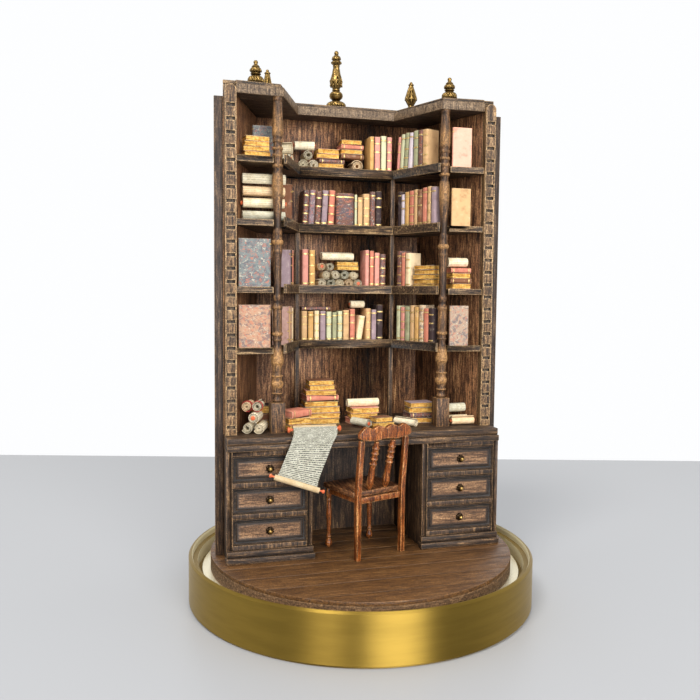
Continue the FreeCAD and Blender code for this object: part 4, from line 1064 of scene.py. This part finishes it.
books_by_row = {1: [], 2: [], 3: [], 4: []}
groups = {}
for node in ("standing_books_upper", "standing_books_lower"):
    for points in solids_of(node):
        centre = middle_of(points)
        away = bay_away(centre)
        bay = "centre" if away.x == 0 else ("right" if away.x > 0 else "left")
        along = Vector((away.y, -away.x, 0))
        low = min(p.z for p in points)
        groups.setdefault((row_of(low), bay), []).append((centre.dot(along), points, away))
for key, members in sorted(groups.items()):
    colours = ROW_COLOURS[key].split()
    for number, (_, points, away) in enumerate(sorted(members, key=lambda m: m[0])):
        arms = box_edges(points)
        arms.sort(key=lambda a: abs(a.z))
        upright = arms.pop()
        if upright.z < 0:
            upright = -upright
        deep = max(arms, key=lambda a: abs(a.dot(away)))
        thick = min(arms, key=lambda a: abs(a.dot(away)))
        centre = sum(points, Vector()) / len(points)
        if deep.dot(away) < 0:
            deep = -deep
        if thick.cross(deep).dot(upright) < 0:
            thick = -thick
        colour = colours[number % len(colours)]
        master = book_masters[(number * 3 + key[0] + len(key[1])) % 4]
        book = set_book(master, "book", centre, thick * 0.98, deep, upright, colour, pale_leaves)
        books_by_row[key[0]].append(book)
for row, books in books_by_row.items():
    node = "standing_books_upper" if row < 3 else "standing_books_lower"
    ride(join(books, "standing_books_row_" + str(row)), "bookcase", "book_covers", node)

COVER_COLOURS = {(1, 1): "peach", (2, 1): "tan", (3, -1): "marble_slate",
                 (4, 1): "marble_grey", (4, -1): "marble_rose"}
covers = []
for points in solids_of("cover_books"):
    arms = box_edges(points)
    centre = sum(points, Vector()) / len(points)
    side = 1 if centre.x > 0 else -1
    upright = max(arms, key=lambda a: abs(a.z))
    thick = max(arms, key=lambda a: abs(a.y))
    wide = max(arms, key=lambda a: abs(a.x))
    upright = upright if upright.z > 0 else -upright
    deep = wide if wide.x * side > 0 else -wide
    if thick.cross(deep).dot(upright) < 0:
        thick = -thick
    colour = COVER_COLOURS[(row_of(min(p.z for p in points)), side)]
    covers.append(set_book(book_masters[3], "book", centre, thick, deep, upright, colour, pale_leaves))
ride(join(covers, "face_out_books"), "bookcase", "book_covers", "cover_books")

PILE_COLOURS = ("brown salmon dark pink tan marble_dark salmon lilac marble_lilac brown orange "
                "rose_grey olive salmon dark pink").split()
STANDING_TALL = 5.0
piles = {"upper": [], "desk": []}
lying = []
for points in solids_of("lying_books"):
    arms = box_edges(points)
    centre = sum(points, Vector()) / len(points)
    lying.append((round(centre.z, 3), round(centre.x, 3), points, arms, centre))
for number, (_, _, points, arms, centre) in enumerate(sorted(lying, key=lambda item: item[:2])):
    upright = max(arms, key=lambda a: abs(a.z))
    flat = sorted((a for a in arms if a is not upright), key=lambda a: a.length)
    deep, tall = flat
    if upright.length > STANDING_TALL:
        upright, deep, tall = flat[0], flat[1], upright
        if deep.y > 0:
            deep = -deep
        colour, master, leaves = "marble_slate", book_masters[3], pale_leaves
    else:
        deep = deep if deep.y < 0 else -deep
        colour = PILE_COLOURS[(number * 5 + 2) % len(PILE_COLOURS)]
        ragged = (number % 4) != 3
        master = stack_masters[number % 3] if ragged else book_masters[number % 2]
        leaves = golden_leaves if ragged else pale_leaves
        if not ragged:
            deep = -deep
    if upright.cross(deep).dot(tall) < 0:
        tall = -tall
    where = level_of(centre)
    piles[where].append(set_book(master, "book", centre, upright, deep, tall, colour, leaves))
for where, books in piles.items():
    ride(join(books, "stacked_books_" + where), "bookcase", "page_edges", "lying_books")
for master in book_masters + stack_masters:
    bpy.data.objects.remove(master)


# ---------------------------------------------------------------- scrolls
ROLL_LENGTH = 10.0
ROLL_STEPS = 20
ROD_LENGTH = 12.2
ROD_PAST_ROLL = 3.2


def model_roll(name, turns, core, tail):
    """A sheet rolled up round an upright axis, 1 mm in radius and 10 mm long, with a spiral end."""
    deselect()
    bpy.ops.mesh.primitive_plane_add(size=ROLL_LENGTH * MM, rotation=(math.radians(90), 0, 0))
    piece = bpy.context.object
    piece.name = name
    bpy.ops.object.transform_apply(location=False, rotation=True, scale=True)
    edit(piece)
    pick(piece, "verts", lambda v: v.co.x < 0)
    bpy.ops.mesh.delete(type="VERT")
    pick(piece, "verts", lambda v: True)
    bpy.ops.transform.translate(value=(-(ROLL_LENGTH / 2 - core) * MM, 0, 0))
    count = int(turns * ROLL_STEPS)
    growth = (1.0 / core) ** (1.0 / count)
    for number in range(count):
        bpy.ops.mesh.extrude_region_move()
        bpy.ops.transform.rotate(value=2 * math.pi / ROLL_STEPS, orient_axis="Z", center_override=(0, 0, 0))
        bpy.ops.transform.resize(value=(growth, growth, 1.0), center_override=(0, 0, 0))
    if tail:
        for _ in range(3):
            bpy.ops.mesh.extrude_region_move()
            bpy.ops.transform.rotate(value=math.pi / ROLL_STEPS, orient_axis="Z", center_override=(0, 0, 0))
            bpy.ops.transform.resize(value=(1.03, 1.03, 1.0), center_override=(0, 0, 0))
    done()
    mesh = piece.data
    leaf = mesh.attributes.new("leaf", "FLOAT_VECTOR", "POINT")
    for number, vert in enumerate(mesh.vertices):
        leaf.data[number].vector = (vert.co.z / MM, (number // 2) * 0.32, 0.0)
    apply_modifier(piece, "SOLIDIFY", thickness=0.075 * MM, offset=-1.0)
    smooth(piece, 50)
    return piece


roll_masters = [model_roll("roll_tight", 3.6, 0.30, False), model_roll("roll_loose", 2.6, 0.42, True),
                model_roll("roll_fine", 4.4, 0.22, False)]
ROD_PROFILE = [(0.0, -6.1), (0.26, -6.05), (0.34, -5.8), (0.26, -5.55), (0.16, -5.4),
               (0.16, 5.4), (0.26, 5.55), (0.34, 5.8), (0.26, 6.05), (0.0, 6.1)]
rod_master = lathe("rod", ROD_PROFILE, steps=12)
BUNDLE_X = -26.0
BUNDLE_Z = 56.0
PAPERS = [tint(255, 250, 240), tint(246, 240, 226), tint(226, 224, 214),
          tint(246, 222, 196), tint(250, 242, 226), tint(214, 218, 214)]


def roll_axis(points):
    """Middle, axis vector over the whole length, and radius of a round bar."""
    centre = sum(points, Vector()) / len(points)
    far = max(points, key=lambda p: (p - centre).length)
    end = [p for p in points if (p - far).length < (p + far - 2 * centre).length]
    axis_point = sum(end, Vector()) / len(end)
    axis = (axis_point - centre).normalized()
    half = sum(abs((p - centre).dot(axis)) for p in points) / len(points)
    radius = sum(((p - centre) - axis * (p - centre).dot(axis)).length for p in points) / len(points)
    return centre, axis, 2 * half, radius


def set_roll(master, name, centre, axis, length, radius, sheet_tint, finish):
    roll = copy_of(master, name)
    turn = axis.to_track_quat("Z", "Y").to_matrix().to_4x4()
    spin = Matrix.Rotation(rng.uniform(0, 2 * math.pi), 4, "Z")
    scale = Matrix.Diagonal((radius, radius, length / ROLL_LENGTH, 1.0))
    roll.data.transform(Matrix.Translation(centre * MM) @ turn @ spin @ scale)
    if "leaf" in roll.data.attributes:
        dye_piece(roll, sheet_tint, Vector((rng.uniform(-40, 40), rng.uniform(-40, 40), 0.0)))
    set_finish(roll, finish)
    return roll


ribbon_master = lathe("ribbon", [(1.0, 2.3), (1.10, 2.3), (1.10, 3.7), (1.0, 3.7)], steps=28)
rolls = {"upper": [], "desk": []}
rods = {"upper": [], "desk": []}
ribbons = []
bars = sorted(solids_of("scrolls"),
              key=lambda pts: (round(middle_of(pts).z, 2), round(middle_of(pts).x, 2)))
for number, points in enumerate(bars):
    centre, axis, length, radius = roll_axis(points)
    where = level_of(centre)
    shade = PAPERS[(number * 5) % len(PAPERS)]
    master = roll_masters[number % 3]
    size = radius * (0.94 if master is roll_masters[1] else 1.0)
    rolls[where].append(set_roll(master, "roll", centre, axis, length, size, shade, scroll_paper))
    bundled = where == "desk" and centre.x < BUNDLE_X
    if bundled and centre.z > BUNDLE_Z:
        flip = axis if axis.y < 0 else -axis
        ribbons.append(set_roll(ribbon_master, "ribbon", centre, flip, length, radius, None, ribbon_red))
    if number % 5 == 1 or where == "desk" and number % 2 and not bundled:
        rod = set_roll(rod_master, "rod", centre, axis, length * 0.92, radius * 1.2, None, rod_paint)
        rods[where].append(rod)
for where in ("upper", "desk"):
    ride(join(rolls[where], "rolled_scrolls_" + where), "bookcase", "scroll_paper", "scrolls")
    ride(join(rods[where], "scroll_rods_" + where), "bookcase", "rod_paint", "scrolls")
ride(join(ribbons, "scroll_ribbons"), "bookcase", "ribbon", "scrolls")


# ---------------------------------------------------------------- hanging scroll
DESK_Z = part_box("desk_top")[1].z / MM
SHEET_STATIONS = [
    ((-22.9, -7.95, 2.6), (-9.9, -7.95, 2.6)),
    ((-22.9, -8.35, 1.6), (-9.9, -8.35, 1.6)),
    ((-23.2, -9.1, 0.4), (-10.3, -9.3, 0.1)),
    ((-24.3, -10.4, -1.9), (-11.9, -10.6, -2.2)),
    ((-26.0, -11.9, -5.0), (-14.2, -12.8, -6.2)),
    ((-27.6, -13.2, -8.0), (-16.6, -14.9, -10.4)),
    ((-28.9, -13.9, -10.2), (-17.9, -16.3, -13.6)),
]
SHEET_ACROSS = 20
SHEET_DOWN = 42
SHEET_WIDE = 13.0
SHEET_LONG = 22.0
SHEET_CUP = 0.55
SHEET_RIPPLE = 0.12


def smooth_point(points, t):
    """Point at t, 0 to 1, on a smooth line through the points."""
    place = t * (len(points) - 1)
    k = min(int(place), len(points) - 2)
    u = place - k
    p0, p1, p2, p3 = (points[min(max(k + d, 0), len(points) - 1)] for d in (-1, 0, 1, 2))
    return 0.5 * ((2 * p1) + (p2 - p0) * u + (2 * p0 - 5 * p1 + 4 * p2 - p3) * u * u
                  + (3 * p1 - p0 - 3 * p2 + p3) * u ** 3)


def model_hanging_sheet():
    """Written sheet falling from its roll over the desk edge, with a slight cup and curled edges."""
    deselect()
    bpy.ops.mesh.primitive_grid_add(x_subdivisions=SHEET_ACROSS, y_subdivisions=SHEET_DOWN, size=1)
    piece = bpy.context.object
    piece.name = "hanging_sheet"
    left = [Vector((x, y, z + DESK_Z)) for (x, y, z), _ in SHEET_STATIONS]
    right = [Vector((x, y, z + DESK_Z)) for _, (x, y, z) in SHEET_STATIONS]
    leaf = piece.data.attributes.new("leaf", "FLOAT_VECTOR", "POINT")
    for vert in piece.data.vertices:
        s = vert.co.x + 0.5
        t = 0.5 - vert.co.y
        leaf.data[vert.index].vector = (s * SHEET_WIDE, t * SHEET_LONG, 0.0)
        a, b = smooth_point(left, t), smooth_point(right, t)
        hang = math.sin(math.pi * min(1.0, t * 1.15))
        cup = -SHEET_CUP * math.sin(math.pi * s) * max(hang, 0.0)
        ripple = SHEET_RIPPLE * math.sin(9.0 * s + 6.0 * t) * max(hang, 0.0)
        vert.co = (a.lerp(b, s) + Vector((0.0, cup + ripple, 0.3 * cup))) * MM
    apply_modifier(piece, "SOLIDIFY", thickness=0.11 * MM, offset=0.0)
    smooth(piece, 60)
    dye_piece(piece, tint(255, 255, 255), Vector((0, 0, 0)))
    set_finish(piece, written_paper)
    return piece


UPPER_ROLL_R = 1.6
LOWER_ROLL_R = 1.0
sheet = model_hanging_sheet()
parts = {"paper": [], "rod": []}
bars = []
for points in solids_of("hanging_scroll"):
    centre, axis, length, radius = roll_axis(points)
    bars.append((radius, centre, axis, length))
upper = next(bar for bar in bars if abs(bar[0] - UPPER_ROLL_R) < 0.06)
lower = next(bar for bar in bars if abs(bar[0] - LOWER_ROLL_R) < 0.06)
for (radius, centre, axis, length), master in ((upper, roll_masters[0]), (lower, roll_masters[2])):
    roll = set_roll(master, "roll", centre, axis, length, radius, tint(212, 196, 172), scroll_paper)
    parts["paper"].append(roll)
    rod = set_roll(rod_master, "rod", centre, axis,
                   (length + ROD_PAST_ROLL) * ROLL_LENGTH / ROD_LENGTH, radius * 1.7, None, rod_paint)
    parts["rod"].append(rod)
roll_pair = join(parts["paper"], "hanging_scroll_rolls")
rod_pair = join(parts["rod"], "hanging_scroll_rods")
ride(roll_pair, "bookcase", "scroll_paper", "hanging_scroll")
ride(rod_pair, "bookcase", "rod_paint", "hanging_scroll")
ride(sheet, "bookcase", "scroll_paper", "hanging_scroll")
for master in roll_masters + [rod_master, ribbon_master]:
    bpy.data.objects.remove(master)


# ---------------------------------------------------------------- stage, lights and camera
CAMERA = Vector((-68.39, -229.82, 92.98)) * MM
FORWARD = Vector((0.26957, 0.96019, -0.07323)).normalized()
HEADING = math.radians(15.68)
ROLL = 0.009
LENS = 40.32
TABLE_REACH = 0.436
TABLE_SIZE = 2.4


def stage_material(name, colour, roughness):
    make = Finish(name, roughness, 0.0, 0.25)
    return make.finish(colour)


deselect()
bpy.ops.mesh.primitive_plane_add(size=1)
table = bpy.context.object
table.name = "table"
run = Vector((FORWARD.x, FORWARD.y, 0)).normalized()
far = Vector((CAMERA.x, CAMERA.y, 0)) + run * TABLE_REACH
centre = far - run * TABLE_SIZE / 2
table.data.transform(Matrix.Translation((centre.x, centre.y, 0)) @ Matrix.Rotation(-HEADING, 4, "Z")
                     @ Matrix.Diagonal((TABLE_SIZE, TABLE_SIZE, 1, 1)))
set_finish(table, stage_material("table_top", (0.40, 0.407, 0.421, 1), 0.4))


def area_light(name, place, target, size, watts, colour=(1, 1, 1)):
    lamp = bpy.data.lights.new(name, "AREA")
    lamp.shape = "DISK"
    lamp.size = size
    lamp.energy = watts
    lamp.color = colour
    holder = bpy.data.objects.new(name, lamp)
    bpy.context.scene.collection.objects.link(holder)
    holder.location = place
    holder.rotation_euler = (Vector(target) - Vector(place)).to_track_quat("-Z", "Y").to_euler()


area_light("window_light", (-0.50, -0.55, 1.00), (0, 0, 0.08), 0.40, 9.0, (1.0, 0.98, 0.95))
area_light("front_light", (0.10, -0.95, 0.34), (0, 0, 0.06), 0.66, 12.0)

world = bpy.data.worlds.new("studio")
bpy.context.scene.world = world
world.use_nodes = True
sky = world.node_tree
direction = sky.nodes.new("ShaderNodeTexCoord")
split = sky.nodes.new("ShaderNodeSeparateXYZ")
shade = sky.nodes.new("ShaderNodeMapRange")
shade.interpolation_type = "SMOOTHSTEP"
for key, value in (("From Min", -0.75), ("From Max", 0.05), ("To Min", 0.20), ("To Max", 1.0)):
    shade.inputs[key].default_value = value
sky.links.new(direction.outputs["Generated"], split.inputs[0])
sky.links.new(split.outputs["Y"], shade.inputs["Value"])
sky.links.new(shade.outputs["Result"], sky.nodes["Background"].inputs["Strength"])
sky.nodes["Background"].inputs["Color"].default_value = (0.985, 0.992, 1.0, 1.0)

lens = bpy.data.cameras.new("camera")
lens.lens = LENS
lens.sensor_width = 36.0
lens.clip_start = 0.005
lens.clip_end = 20.0
camera = bpy.data.objects.new("camera", lens)
bpy.context.scene.collection.objects.link(camera)
right = Vector((math.cos(HEADING), -math.sin(HEADING), 0))
up = right.cross(FORWARD)
x_axis = right * math.cos(ROLL) + up * math.sin(ROLL)
y_axis = up * math.cos(ROLL) - right * math.sin(ROLL)
camera.matrix_world = Matrix((
    (x_axis.x, y_axis.x, -FORWARD.x, CAMERA.x),
    (x_axis.y, y_axis.y, -FORWARD.y, CAMERA.y),
    (x_axis.z, y_axis.z, -FORWARD.z, CAMERA.z),
    (0, 0, 0, 1)))
bpy.context.scene.camera = camera
bpy.context.scene.view_settings.view_transform = "Standard"
